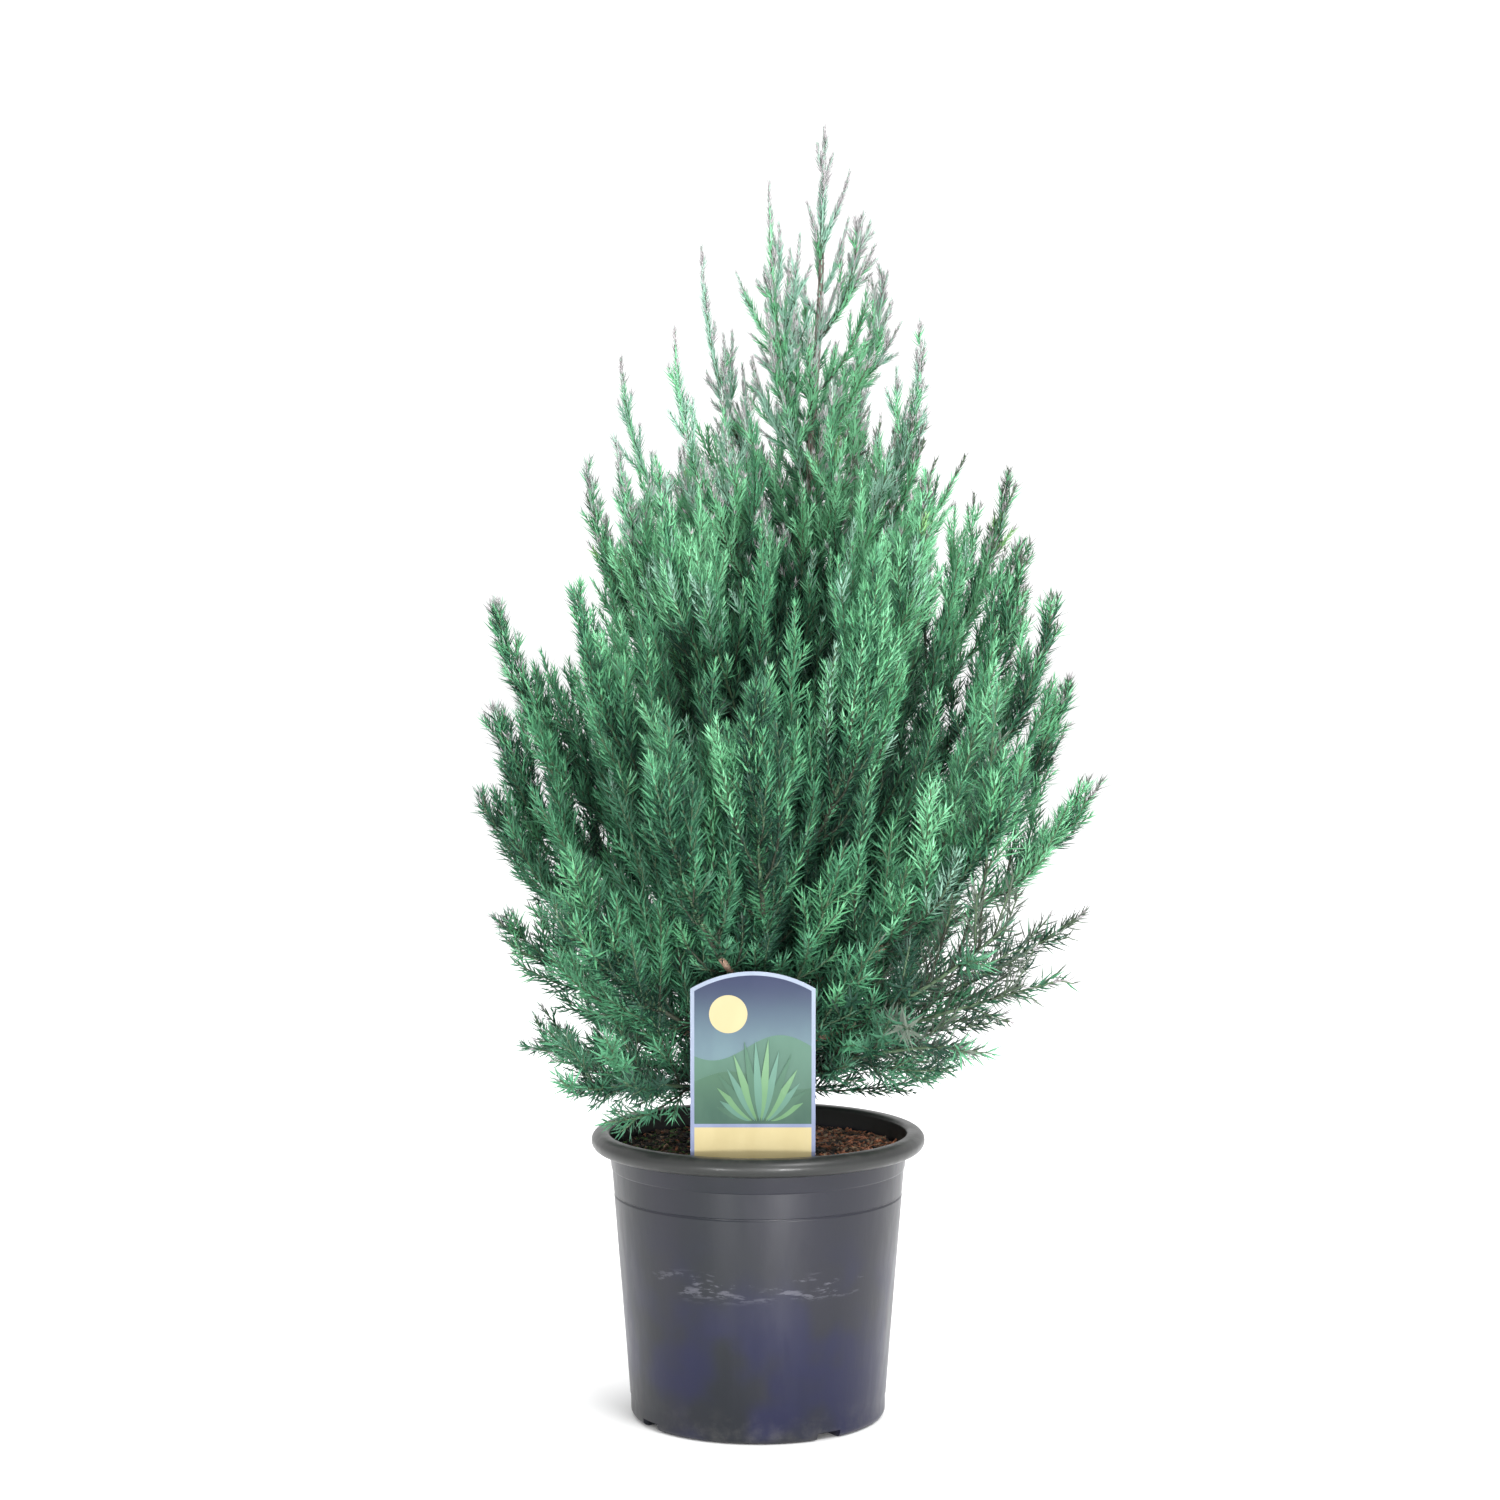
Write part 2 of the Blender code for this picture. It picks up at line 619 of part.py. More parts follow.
def needle_spray(length, reach):
    """A slim three-sided twig along +Z, with needles that stand out of its sides in threes."""
    work = bmesh.new()
    bmesh.ops.create_cone(
        work,
        cap_ends=True,
        segments=3,
        radius1=TWIG_RADIUS,
        radius2=TWIG_TIP_RADIUS,
        depth=length,
        matrix=Matrix.Translation((0, 0, length / 2)),
    )
    whorls = max(2, round(length / WHORL_SPACING))
    long_edges = [e for e in work.edges if abs(e.verts[0].co.z - e.verts[1].co.z) > length / 2]
    bmesh.ops.subdivide_edges(work, edges=long_edges, cuts=whorls, use_grid_fill=True)
    bare = length / (whorls + 1)
    sides = [f for f in work.faces if abs(f.normal.z) < 0.7 and f.calc_center_median().z > bare]
    for vert in bmesh.ops.poke(work, faces=sides)["verts"]:
        away = Vector((vert.co.x, vert.co.y, 0.0)).normalized()
        smaller = 1.0 - NEEDLE_FALL * vert.co.z / length
        vert.co += away * reach * smaller + Vector((0, 0, NEEDLE_SWEEP * reach * smaller))
    end = [f for f in work.faces if f.calc_center_median().z > length * 0.999]
    for vert in bmesh.ops.poke(work, faces=end)["verts"]:
        vert.co.z += reach
    for vert in work.verts:
        turn = math.radians(SPRAY_TWIST) * vert.co.z / length
        vert.co = Matrix.Rotation(turn, 3, "Z") @ vert.co
    mesh = bpy.data.meshes.new("spray")
    work.to_mesh(mesh)
    work.free()
    return mesh


def outline_points(mesh, frame):
    """Points along every edge of a spray, close enough to show what it would touch."""
    corners = np.array([frame @ vert.co for vert in mesh.vertices])
    ends = np.array([edge.vertices[:] for edge in mesh.edges])
    first, last = corners[ends[:, 0]], corners[ends[:, 1]]
    return np.concatenate([first + (last - first) * share for share in (0, 0.25, 0.5, 0.75, 1)])


def heart_radii(limb, points, index, crown):
    """The stem swells into the dense heart of the mass, as far as there is room."""
    room = crown.room(np.array(points), index)
    radii = []
    for i, free in enumerate(room):
        share = i / (len(points) - 1)
        along = max(share - HEART_START, 0) / (1 - HEART_START)
        swell = math.sin(math.pi * min(along, 1.0)) ** HEART_FULLNESS
        radius = STEM_RADIUS + (STEM_TIP_RADIUS - STEM_RADIUS) * share
        radii.append(max(radius, min(radius + HEART_RADIUS * limb.needle * swell, free)))
    return radii


def bristle(stem, limb, index, crown):
    """Draws each side of the heart out to a point that leans forwards, as far as it has room."""
    place = np.array(stem.location)
    work = bmesh.new()
    work.from_mesh(stem.data)
    shares = np.linspace(limb.fork, 1.0, AXIS_SAMPLES)
    axis = np.array([limb.at(share) for share in shares])
    sides, leans = [], []
    for face in work.faces:
        centre = np.array(face.calc_center_median()) + place
        nearest = np.linalg.norm(axis - centre, axis=1).argmin()
        away = Vector(centre - axis[nearest])
        if len(face.verts) == 4 and away.length > HEART_FLUSH:
            sides.append(face)
            leans.append(away.normalized() + limb.heading(shares[nearest]) * HEART_SWEEP)
    tips = bmesh.ops.poke(work, faces=sides)["verts"]
    centres = np.array([tip.co for tip in tips]) + place
    leans = np.array(leans) * HEART_NEEDLE * limb.needle
    scales = np.zeros(len(tips))
    for scale in sorted(SHORTER):
        way = [crown.room(centres + leans * scale * part, index) for part in WAY_OUT]
        scales[np.min(way, axis=0) > 0] = scale
    for tip, lean, scale in zip(tips, leans, scales):
        tip.co += Vector(lean * scale)
    work.to_mesh(stem.data)
    work.free()


def side_sprays(limb, end_share, rng):
    """(place, direction, length) for each side spray, in a spiral up the stem."""
    covered = limb.length() * (end_share - limb.fork)
    count = max(FEWEST_SPRAYS, round(covered / SPRAY_SPACING))
    turn = rng.uniform(0, 360)
    for i in range(count):
        share = FIRST_SPRAY + (1 - FIRST_SPRAY) * (i + 0.5) / count
        place = limb.fork + (end_share - limb.fork) * share
        heading = limb.heading(place)
        side = heading.cross(SPRAY_SIDE).normalized()
        side = Matrix.Rotation(math.radians(turn + GOLDEN_ANGLE * i), 3, heading) @ side
        angle = math.radians(SPRAY_ANGLE + (SPRAY_TIP_ANGLE - SPRAY_ANGLE) * share)
        angle *= 1 + SPRAY_ANGLE_JITTER * rng.uniform(-1, 1)
        direction = heading * math.cos(angle) + side * math.sin(angle)
        direction = (direction + Vector((0, 0, SPRAY_UPTURN))).normalized()
        length = SPRAY_LENGTH * (1 + (SPRAY_TIP_SHARE - 1) * share)
        length *= 1 + SPRAY_LENGTH_JITTER * rng.uniform(-1, 1)
        length *= SPRAY_SLENDER + (1 - SPRAY_SLENDER) * limb.needle
        yield limb.at(place), direction, length


def passes_tip(points, limb):
    """True if a point lies further along than the limb's own tip."""
    along = limb.tip - limb.foot
    return bool(((points - np.array(limb.tip)) @ np.array(along)).max() > 0)


def spray_frame(root, direction, rng):
    turn = direction.to_track_quat("Z", "Y").to_matrix().to_4x4()
    roll = Matrix.Rotation(rng.uniform(0, 2 * math.pi), 4, "Z")
    return Matrix.Translation(root - direction * SPRAY_SINK) @ turn @ roll


def build_mass(limb, index, crown, collection):
    """The stem and heart, with each spray fused on that keeps to the mass's own space."""
    rng = random.Random(f"{SEED} {limb.name}")
    end_share = limb.fork + (1 - limb.fork) * (1 - END_SPRAY_SHARE)
    start = limb.fork + (GAP / limb.length() if limb.fork > limb.start else 0.0)
    points = limb.stretch(start, end_share, HEART_STATIONS)
    radii = heart_radii(limb, points, index, crown)
    stem = tube(f"foliage_{limb.name}", points, radii, HEART_SIDES, collection)
    bristle(stem, limb, index, crown)
    sprays = new_collection(f"sprays_{limb.name}")
    reach = NEEDLE_REACH * limb.needle

    end = limb.at(end_share)
    frame = spray_frame(end, (limb.tip - end).normalized(), rng)
    for scale in SHORTER:
        length = (limb.tip - end).length + SPRAY_SINK - reach * scale
        mesh = needle_spray(length, reach * scale)
        if crown.holds(outline_points(mesh, frame), index):
            break
    place_spray(mesh, frame, sprays)
    for root, direction, length in side_sprays(limb, end_share, rng):
        frame = spray_frame(root, direction, rng)
        for scale in SHORTER:
            mesh = needle_spray(length * scale, reach * math.sqrt(scale))
            points = outline_points(mesh, frame)
            if not passes_tip(points, limb) and crown.holds(points, index):
                place_spray(mesh, frame, sprays)
                break
    fuse(stem, sprays)
    stem.data.materials.append(material(*FOLIAGE))


def place_spray(mesh, frame, sprays):
    spray = new_object("spray", mesh, sprays)
    spray.matrix_world = frame


def fuse(stem, sprays):
    """One union of the stem and its sprays, applied. The sprays' objects then go."""
    boolean(stem, "UNION", operand_type="COLLECTION", collection=sprays, solver="MANIFOLD")
    bpy.context.view_layer.update()
    evaluated = stem.evaluated_get(bpy.context.evaluated_depsgraph_get())
    mesh = bpy.data.meshes.new_from_object(evaluated)
    stem.modifiers.clear()
    stem.data = mesh
    mesh.materials.clear()
    drop_inner_shells(mesh)
    for spray in list(sprays.objects):
        bpy.data.objects.remove(spray)
    bpy.data.collections.remove(sprays)


def drop_inner_shells(mesh):
    """Keeps the largest shell. Crossing needles can close off small ones inside it."""
    work = bmesh.new()
    work.from_mesh(mesh)
    unseen = set(work.verts)
    shells = []
    while unseen:
        shell, ahead = set(), {unseen.pop()}
        while ahead:
            vert = ahead.pop()
            shell.add(vert)
            ahead |= {edge.other_vert(vert) for edge in vert.link_edges} - shell
        unseen -= shell
        shells.append(shell)
    largest = max(shells, key=len)
    spare = [vert for vert in work.verts if vert not in largest]
    bmesh.ops.delete(work, geom=spare, context="VERTS")
    work.to_mesh(mesh)
    work.free()


def main():
    clear_scene()
    juniper = new_collection("chinese_juniper")
    cutters = new_collection("cutters")
    build_pot(juniper, cutters)
    soil = turned("soil", soil_profile(), SOIL_FACETS, juniper, COMPOST)
    build_label(juniper, cutters, soil)
    build_trunk(juniper)
    limbs = grow_limbs()
    crown = Crown(limbs)
    for index, limb in enumerate(limbs):
        if limb.fork > limb.start:
            build_bough(limb, juniper)
        build_mass(limb, index, crown, juniper)


main()
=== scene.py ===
import math
import random
from typing import NamedTuple

import bpy
import numpy as np
from mathutils import Matrix, Vector, noise


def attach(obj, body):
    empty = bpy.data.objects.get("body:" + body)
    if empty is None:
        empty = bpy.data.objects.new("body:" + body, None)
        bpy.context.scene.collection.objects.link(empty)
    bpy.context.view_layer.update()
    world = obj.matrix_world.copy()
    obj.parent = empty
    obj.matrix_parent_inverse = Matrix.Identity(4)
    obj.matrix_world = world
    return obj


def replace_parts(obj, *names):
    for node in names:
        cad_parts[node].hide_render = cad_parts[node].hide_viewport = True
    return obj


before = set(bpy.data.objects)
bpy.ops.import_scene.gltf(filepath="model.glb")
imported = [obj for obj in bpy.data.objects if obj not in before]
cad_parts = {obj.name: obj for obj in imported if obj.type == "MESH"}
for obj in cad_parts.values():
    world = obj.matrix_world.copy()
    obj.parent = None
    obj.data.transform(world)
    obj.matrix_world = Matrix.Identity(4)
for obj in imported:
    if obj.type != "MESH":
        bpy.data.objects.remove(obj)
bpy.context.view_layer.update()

UP = Vector((0.0, 0.0, 1.0))

# What the part's source also states, in metres, degrees and shares of a length
SEED = 7
GAP = 0.0003  # between solids that touch
POT_HEIGHT = 0.163
RIM_RADIUS = 0.095
RIM_DEPTH = 0.0105
RIM_INNER_RADIUS = 0.0845
WALL = 0.0016
WALL_TAPER = 0.078
WALL_FOOT_RADIUS = 0.0722
FOOT_HEIGHT = 0.0125
FOOT_RADIUS = 0.0690
NOTCHES = 4
NOTCH_FIRST = 33.0
NOTCH_WIDTH = 0.015
NOTCH_HEIGHT = 0.0045
NOTCH_INNER_RADIUS = 0.060
SOIL_EDGE_HEIGHT = 0.1505
SOIL_MOUND_HEIGHT = 0.1550
LABEL_CENTRE_X = -0.003
LABEL_Y = -0.0735
LABEL_WIDTH = 0.0685
LABEL_THICKNESS = 0.0008
LABEL_TOP = 0.2635
LABEL_DOME = 0.0095
LABEL_SHOULDER = 0.1560
LABEL_STAKE_WIDTH = 0.012
LABEL_STAKE_NECK = 0.030
LABEL_STAKE_FOOT = 0.085
LABEL_CLEARANCE = 0.003
LABEL_SIGHT = 0.14  # how much the view over the label rises for each metre ahead of it
TRUNK_FOOT = SOIL_MOUND_HEIGHT + GAP
TRUNK_TIP = 0.655
TRUNK_FOOT_X = 0.004
TRUNK_BOW = 0.006
TRUNK_RADIUS = 0.0068
TRUNK_TIP_RADIUS = 0.0014
TRUNK_FLARE = 0.0042
FLARE_HEIGHT = 0.010
LEADER_TOP = 0.728
LEADER_TOP_X = 0.037
BOUGH_RADIUS = 0.0030
STEM_RADIUS = 0.0016
START_STEP = 0.0005  # in search of where a limb leaves the trunk
DEPTH_SHARE = 0.95  # the crown's depth over its width
SIDE_JITTER = 8.0
REACH_JITTER = 0.10
TIP_JITTER = 0.012
FOOT_JITTER = 0.004
SPRAY_LENGTH = 0.078
SPRAY_TIP_SHARE = 0.62
SPRAY_UPTURN = 0.22
SPRAY_SLENDER = 0.4  # share of a spray's length that needles don't scale
SPRAY_SIDE = Vector((0.31, 0.52, 0.79))
GOLDEN_ANGLE = 137.508
FOLIAGE_FLOOR = POT_HEIGHT + 0.006
STEM_SAMPLES = 9
HEADING_STEP = 0.01


# Limbs, grown by the source's rule


class Tier(NamedTuple):
    """A ring of limbs that start at like heights."""

    name: str
    count: int
    first: float  # azimuth of the first limb
    foot: float  # height at which they leave the trunk
    left: tuple  # x and height of the tip furthest to the left
    right: tuple
    elbow: float  # share of the way out at which a limb bends upwards
    lift: float  # share of its rise at that place
    bough: float  # share of its length that is a bough without foliage
    needle: float  # size of its sprays
    parting: float  # degrees that limbs in front keep away from the label


TIERS = (
    Tier("skirt", 5, 108.0, 0.186, (-0.138, 0.203), (0.150, 0.223), 0.50, 0.90, 0.0, 0.9, 34.0),
    Tier("low", 6, 90.0, 0.204, (-0.152, 0.286), (0.186, 0.288), 0.60, 0.36, 0.34, 1.0, 34.0),
    Tier("broad", 6, 96.0, 0.232, (-0.158, 0.355), (0.196, 0.358), 0.72, 0.34, 0.38, 1.0, 12.0),
    Tier("flank", 4, 90.0, 0.260, (-0.150, 0.405), (0.176, 0.420), 0.86, 0.30, 0.0, 1.1, 0.0),
    Tier("middle", 6, 84.0, 0.296, (-0.151, 0.463), (0.148, 0.495), 0.90, 0.34, 0.0, 1.1, 0.0),
    Tier("upper", 5, 108.0, 0.365, (-0.104, 0.535), (0.150, 0.528), 0.90, 0.34, 0.0, 1.0, 0.0),
    Tier("shoulder", 4, 60.0, 0.440, (-0.092, 0.604), (0.103, 0.610), 0.95, 0.36, 0.0, 0.9, 0.0),
)
SINGLES = (  # name, height of the foot, tip, elbow, lift, needle
    ("skirt_6", 0.197, (0.172, -0.022, 0.252), 0.55, 0.60, 0.9),
    ("flank_5", 0.283, (0.164, -0.030, 0.462), 0.88, 0.32, 1.1),
    ("upper_6", 0.376, (-0.077, -0.046, 0.550), 0.90, 0.34, 1.0),
    ("top_left", 0.490, (-0.032, 0.012, 0.663), 0.95, 0.40, 0.5),
    ("top_second", 0.530, (0.006, -0.022, 0.695), 0.95, 0.40, 0.5),
    ("top_right", 0.610, (0.057, -0.004, 0.677), 0.95, 0.40, 0.5),
    ("top_back", 0.545, (0.071, 0.020, 0.648), 0.95, 0.40, 0.5),
)
LEADER_NEEDLE = 0.3


def outward(azimuth):
    angle = math.radians(azimuth)
    return Vector((math.sin(angle), -math.cos(angle), 0.0))


def trunk_axis(height):
    share = (height - TRUNK_FOOT) / (LEADER_TOP - TRUNK_FOOT)
    lean = (LEADER_TOP_X - TRUNK_FOOT_X) * share**2 * (3 - 2 * share)
    return Vector((TRUNK_FOOT_X + lean, TRUNK_BOW * math.sin(math.pi * share) ** 2, height))


def trunk_radius(height):
    share = (height - TRUNK_FOOT) / (TRUNK_TIP - TRUNK_FOOT)
    taper = TRUNK_RADIUS + (TRUNK_TIP_RADIUS - TRUNK_RADIUS) * share
    return taper + TRUNK_FLARE * math.exp(-(height - TRUNK_FOOT) / FLARE_HEIGHT)


class Limb(NamedTuple):
    """A limb's curve from the trunk's middle to its tip, and the shares where its parts lie."""

    name: str
    foot: Vector
    elbow: Vector
    tip: Vector
    start: float
    fork: float
    needle: float

    def kind(self):
        return self.name.split("_")[0]

    def at(self, share):
        rest = 1.0 - share
        return self.foot * rest**2 + self.elbow * (2 * rest * share) + self.tip * share**2

    def heading(self, share):
        return (self.at(share + HEADING_STEP) - self.at(share - HEADING_STEP)).normalized()

    def stretch(self, start, end, stations):
        return [self.at(start + (end - start) * i / (stations - 1)) for i in range(stations)]

    def length(self):
        line = self.stretch(0.0, 1.0, STEM_SAMPLES)
        return sum((b - a).length for a, b in zip(line, line[1:]))


def limb_between(name, foot_height, tip, elbow_share, lift, bough, needle):
    foot = trunk_axis(foot_height)
    span = tip - foot
    elbow = foot + Vector((span.x * elbow_share, span.y * elbow_share, span.z * lift))
    limb = Limb(name, foot, elbow, tip, 0.0, 0.0, needle)
    start = way_out_of_trunk(limb, BOUGH_RADIUS if bough else STEM_RADIUS)
    return limb._replace(start=start, fork=max(bough, start))


def way_out_of_trunk(limb, width):
    share = 0.0
    clear = -width
    while clear < GAP:
        share += START_STEP
        heading = limb.heading(share)
        upwards = (UP - heading * heading.z).normalized()
        edge = limb.at(share) + upwards * width
        axis = trunk_axis(edge.z)
        clear = math.hypot(edge.x - axis.x, edge.y - axis.y) - trunk_radius(edge.z)
    return share


def tier_limb(tier, number, rng):
    azimuth = tier.first + 360 / tier.count * number
    side = math.sin(math.radians(azimuth))
    azimuth += tier.parting * side * max(math.cos(math.radians(azimuth)), 0.0)
    freedom = 1.0 - side**2
    azimuth += SIDE_JITTER * freedom * rng.uniform(-1, 1)
    along = outward(azimuth)
    middle = (tier.right[0] + tier.left[0]) / 2
    half = (tier.right[0] - tier.left[0]) / 2 * (1.0 - REACH_JITTER * freedom * rng.random())
    height = tier.left[1] + (tier.right[1] - tier.left[1]) * (1 + along.x) / 2
    height += TIP_JITTER * freedom * rng.uniform(-1, 1)
    tip = Vector((middle + half * along.x, half * DEPTH_SHARE * along.y, height))
    foot = tier.foot + FOOT_JITTER * rng.uniform(-1, 1)
    name = f"{tier.name}_{number + 1}"
    return limb_between(name, foot, tip, tier.elbow, tier.lift, tier.bough, tier.needle)


def grow_limbs():
    rng = random.Random(SEED)
    limbs = [tier_limb(tier, i, rng) for tier in TIERS for i in range(tier.count)]
    for name, foot, tip, elbow, lift, needle in SINGLES:
        limbs.append(limb_between(name, foot, Vector(tip), elbow, lift, 0.0, needle))
    foot = trunk_axis(TRUNK_TIP + GAP)
    tip = trunk_axis(LEADER_TOP)
    limbs.append(Limb("leader", foot, (foot + tip) / 2, tip, 0.0, 0.0, LEADER_NEEDLE))
    return limbs


# Materials


def node(tree, kind, inputs=None, **settings):
    """A node with its settings. An input is a value, or another node's output."""
    made = tree.nodes.new(kind)
    for key, value in settings.items():
        setattr(made, key, value)
    for key, value in (inputs or {}).items():
        if isinstance(value, bpy.types.NodeSocket):
            tree.links.new(value, made.inputs[key])
        else:
            made.inputs[key].default_value = value
    return made


def group_of(name, inputs, outputs):
    """An empty node group with named sockets, what goes in and what comes out."""
    group = bpy.data.node_groups.new(name, "ShaderNodeTree")
    for label, value in inputs.items():
        kind = "NodeSocketVector" if isinstance(value, tuple) else "NodeSocketFloat"
        group.interface.new_socket(label, in_out="INPUT", socket_type=kind).default_value = value
    for label in outputs:
        group.interface.new_socket(label, in_out="OUTPUT", socket_type="NodeSocketFloat")
    return group, node(group, "NodeGroupInput").outputs, node(group, "NodeGroupOutput").inputs


def ramp(tree, factor, colours, turn):
    """The first colour at 0, the second at the turn and the third at 1."""
    made = node(tree, "ShaderNodeValToRGB", {"Fac": factor})
    stops = made.color_ramp.elements
    stops.new(turn)
    for stop, colour in zip(stops, colours):
        stop.color = (*colour, 1.0)
    return made.outputs["Color"]


def blend_colours(tree, factor, *colours):
    first, second = (colour if isinstance(colour, bpy.types.NodeSocket) else (*colour, 1.0)
                     for colour in colours)
    inputs = {0: factor, 6: first, 7: second}
    return node(tree, "ShaderNodeMix", inputs, data_type="RGBA").outputs[2]


def between(tree, value, low, high):
    """0 below low, 1 above high, and smooth in between."""
    inputs = {"Value": value, "From Min": low, "From Max": high}
    made = node(tree, "ShaderNodeMapRange", inputs, interpolation_type="SMOOTHSTEP")
    return made.outputs["Result"]


def combine(tree, first, second, operation="MULTIPLY"):
    return node(tree, "ShaderNodeMath", {0: first, 1: second}, operation=operation).outputs[0]


def place_in(tree):
    return node(tree, "ShaderNodeTexCoord").outputs["Object"]


def axes_of(tree, vector):
    return node(tree, "ShaderNodeSeparateXYZ", {0: vector}).outputs


def grain_group():
    """Stretched grain: fine threads that run along one axis, with broader patches over them."""
    inputs = {"Stretch": (1, 1, 1), "Fine": 900.0, "Broad": 80.0}
    group, given, out = group_of("grain", inputs, ("Threads", "Patches", "Height"))
    stretch = {0: place_in(group), 1: given["Stretch"]}
    drawn = node(group, "ShaderNodeVectorMath", stretch, operation="MULTIPLY").outputs[0]
    fine = {"Vector": drawn, "Scale": given["Fine"], "Detail": 5.0, "Roughness": 0.62}
    broad = {"Vector": drawn, "Scale": given["Broad"], "Detail": 3.0}
    threads = between(group, node(group, "ShaderNodeTexNoise", fine).outputs["Fac"], 0.38, 0.62)
    patches = node(group, "ShaderNodeTexNoise", broad).outputs["Fac"]
    group.links.new(threads, out["Threads"])
    group.links.new(between(group, patches, 0.36, 0.64), out["Patches"])
    group.links.new(combine(group, threads, patches, "ADD"), out["Height"])
    return group


def dust_group():
    """Dust and soil that gather in patches on what faces upwards, and low down."""
    group, given, out = group_of("dust", {"Amount": 0.3, "Low": 0.0, "High": 0.02}, ("Mask",))
    place = place_in(group)
    cloud = {"Vector": place, "Scale": 95.0, "Detail": 6.0, "Roughness": 0.7}
    patches = between(group, node(group, "ShaderNodeTexNoise", cloud).outputs["Fac"], 0.42, 0.72)
    facing = node(group, "ShaderNodeNewGeometry").outputs["Normal"]
    lying = between(group, axes_of(group, facing)["Z"], 0.3, 0.95)
    height = axes_of(group, place)["Z"]
    bounds = {"Value": height, "From Min": given["High"], "From Max": given["Low"]}
    low = node(group, "ShaderNodeMapRange", bounds).outputs["Result"]
    mask = combine(group, combine(group, lying, low, "MAXIMUM"), patches)
    group.links.new(combine(group, mask, given["Amount"]), out["Mask"])
    return group


def placed(tree, group, **values):
    """The outputs of a node group in a tree, with plain values on its inputs."""
    made = node(tree, "ShaderNodeGroup", node_tree=group)
    for key, value in values.items():
        made.inputs[key].default_value = value
    return made.outputs


def new_finish(name, roughness, **sockets):
    """A material, its tree and its Principled shader, with plain values on its sockets."""
    made = bpy.data.materials.new(name)
    made.use_nodes = True
    shader = made.node_tree.nodes["Principled BSDF"]
    shader.inputs["Roughness"].default_value = roughness
    for key, value in sockets.items():
        shader.inputs[key.replace("_", " ")].default_value = value
    return made, made.node_tree, shader


def plain_finish(name, colour, roughness, **sockets):
    made, _, shader = new_finish(name, roughness, **sockets)
    shader.inputs["Base Color"].default_value = (*colour, 1.0)
    return made


def bump(tree, shader, height, strength, distance):
    inputs = {"Height": height, "Strength": strength, "Distance": distance}
    tree.links.new(node(tree, "ShaderNodeBump", inputs).outputs[0], shader.inputs["Normal"])


def bark_finish(name, grain, dark, middle, pale):
    """Stringy bark: dark in its furrows, with paler strips where it peels."""
    made, tree, shader = new_finish(name, 0.85)
    threads = placed(tree, grain, Stretch=(1.0, 1.0, 0.16), Fine=1100.0, Broad=210.0)
    base = ramp(tree, threads["Threads"], (dark, middle, pale), 0.55)
    peeled = blend_colours(tree, threads["Patches"], middle, pale)
    share = combine(tree, threads["Patches"], 0.45)
    tree.links.new(blend_colours(tree, share, base, peeled), shader.inputs["Base Color"])
    bump(tree, shader, threads["Height"], strength=0.6, distance=0.0004)
    return made


POT_BLACKS = ((0.006, 0.0078, 0.0115), (0.011, 0.0115, 0.018))  # they mix in patches
POT_SHEEN, SHEEN_HEIGHTS = (0.006, 0.007, 0.032), (0.135, 0.045)  # from none to full
POT_RIM, RIM_HEIGHTS = (0.019, 0.020, 0.018), (0.1515, 0.1535)
POT_SCUFFS = (0.15, 0.15, 0.18)
SCUFF_HEIGHTS = ((0.078, 0.086), (0.099, 0.091))  # where the scuffed band begins and ends
SCUFF_FRONT = (-0.045, -0.068)  # from none to full, towards the viewer
POT_DUST = (0.10, 0.095, 0.085)


def plastic_finish(grain, dust):
    """Dark blown plastic: a blue sheen low down, a greyer rim, a scuffed band, some dust."""
    made, tree, shader = new_finish("pot_plastic_worn", 0.36, Specular_IOR_Level=0.34)
    place = place_in(tree)
    axes = axes_of(tree, place)
    height = axes["Z"]
    flow = placed(tree, grain, Stretch=(1.0, 1.0, 0.25), Fine=160.0, Broad=14.0)
    cloud = node(tree, "ShaderNodeTexNoise", {"Vector": place, "Scale": 22.0, "Detail": 2.0})
    cloudy = between(tree, cloud.outputs["Fac"], 0.40, 0.60)
    sheen = combine(tree, between(tree, height, *SHEEN_HEIGHTS), cloudy)
    scuffs = placed(tree, grain, Stretch=(1.0, 1.0, 4.0), Fine=120.0, Broad=34.0)
    worn = between(tree, scuffs["Threads"], 0.45, 1.0)
    worn = combine(tree, worn, between(tree, scuffs["Patches"], 0.55, 1.0))
    band = combine(tree, *(between(tree, height, *ends) for ends in SCUFF_HEIGHTS))
    front = combine(tree, between(tree, axes["Y"], *SCUFF_FRONT), 0.33)
    body = blend_colours(tree, flow["Patches"], *POT_BLACKS)
    for share, colour in (
        (combine(tree, sheen, 0.8), POT_SHEEN),
        (combine(tree, between(tree, height, *RIM_HEIGHTS), 0.8), POT_RIM),
        (combine(tree, combine(tree, band, worn), front), POT_SCUFFS),
        (placed(tree, dust, Amount=0.22, Low=0.002, High=0.022)["Mask"], POT_DUST),
    ):
        body = blend_colours(tree, share, body, colour)
    tree.links.new(body, shader.inputs["Base Color"])
    rough = {"Value": flow["Threads"], "To Min": 0.31, "To Max": 0.37}
    smooth = node(tree, "ShaderNodeMapRange", rough).outputs["Result"]
    tree.links.new(smooth, shader.inputs["Roughness"])
    bump(tree, shader, flow["Height"], strength=0.05, distance=0.0003)
    return made


def compost_finish(name, grain, dark, middle, pale, bumpiness=1.0):
    """Moist bark compost: crumbs and fibres, darkest between them."""
    made, tree, shader = new_finish(name, 0.9)
    crumbs = placed(tree, grain, Stretch=(1.0, 1.0, 1.0), Fine=520.0, Broad=90.0)
    base = ramp(tree, crumbs["Threads"], (dark, middle, pale), 0.6)
    mixed = blend_colours(tree, combine(tree, crumbs["Patches"], 0.5), base, dark)
    tree.links.new(mixed, shader.inputs["Base Color"])
    bump(tree, shader, crumbs["Height"], bumpiness, distance=0.0012)
    return made


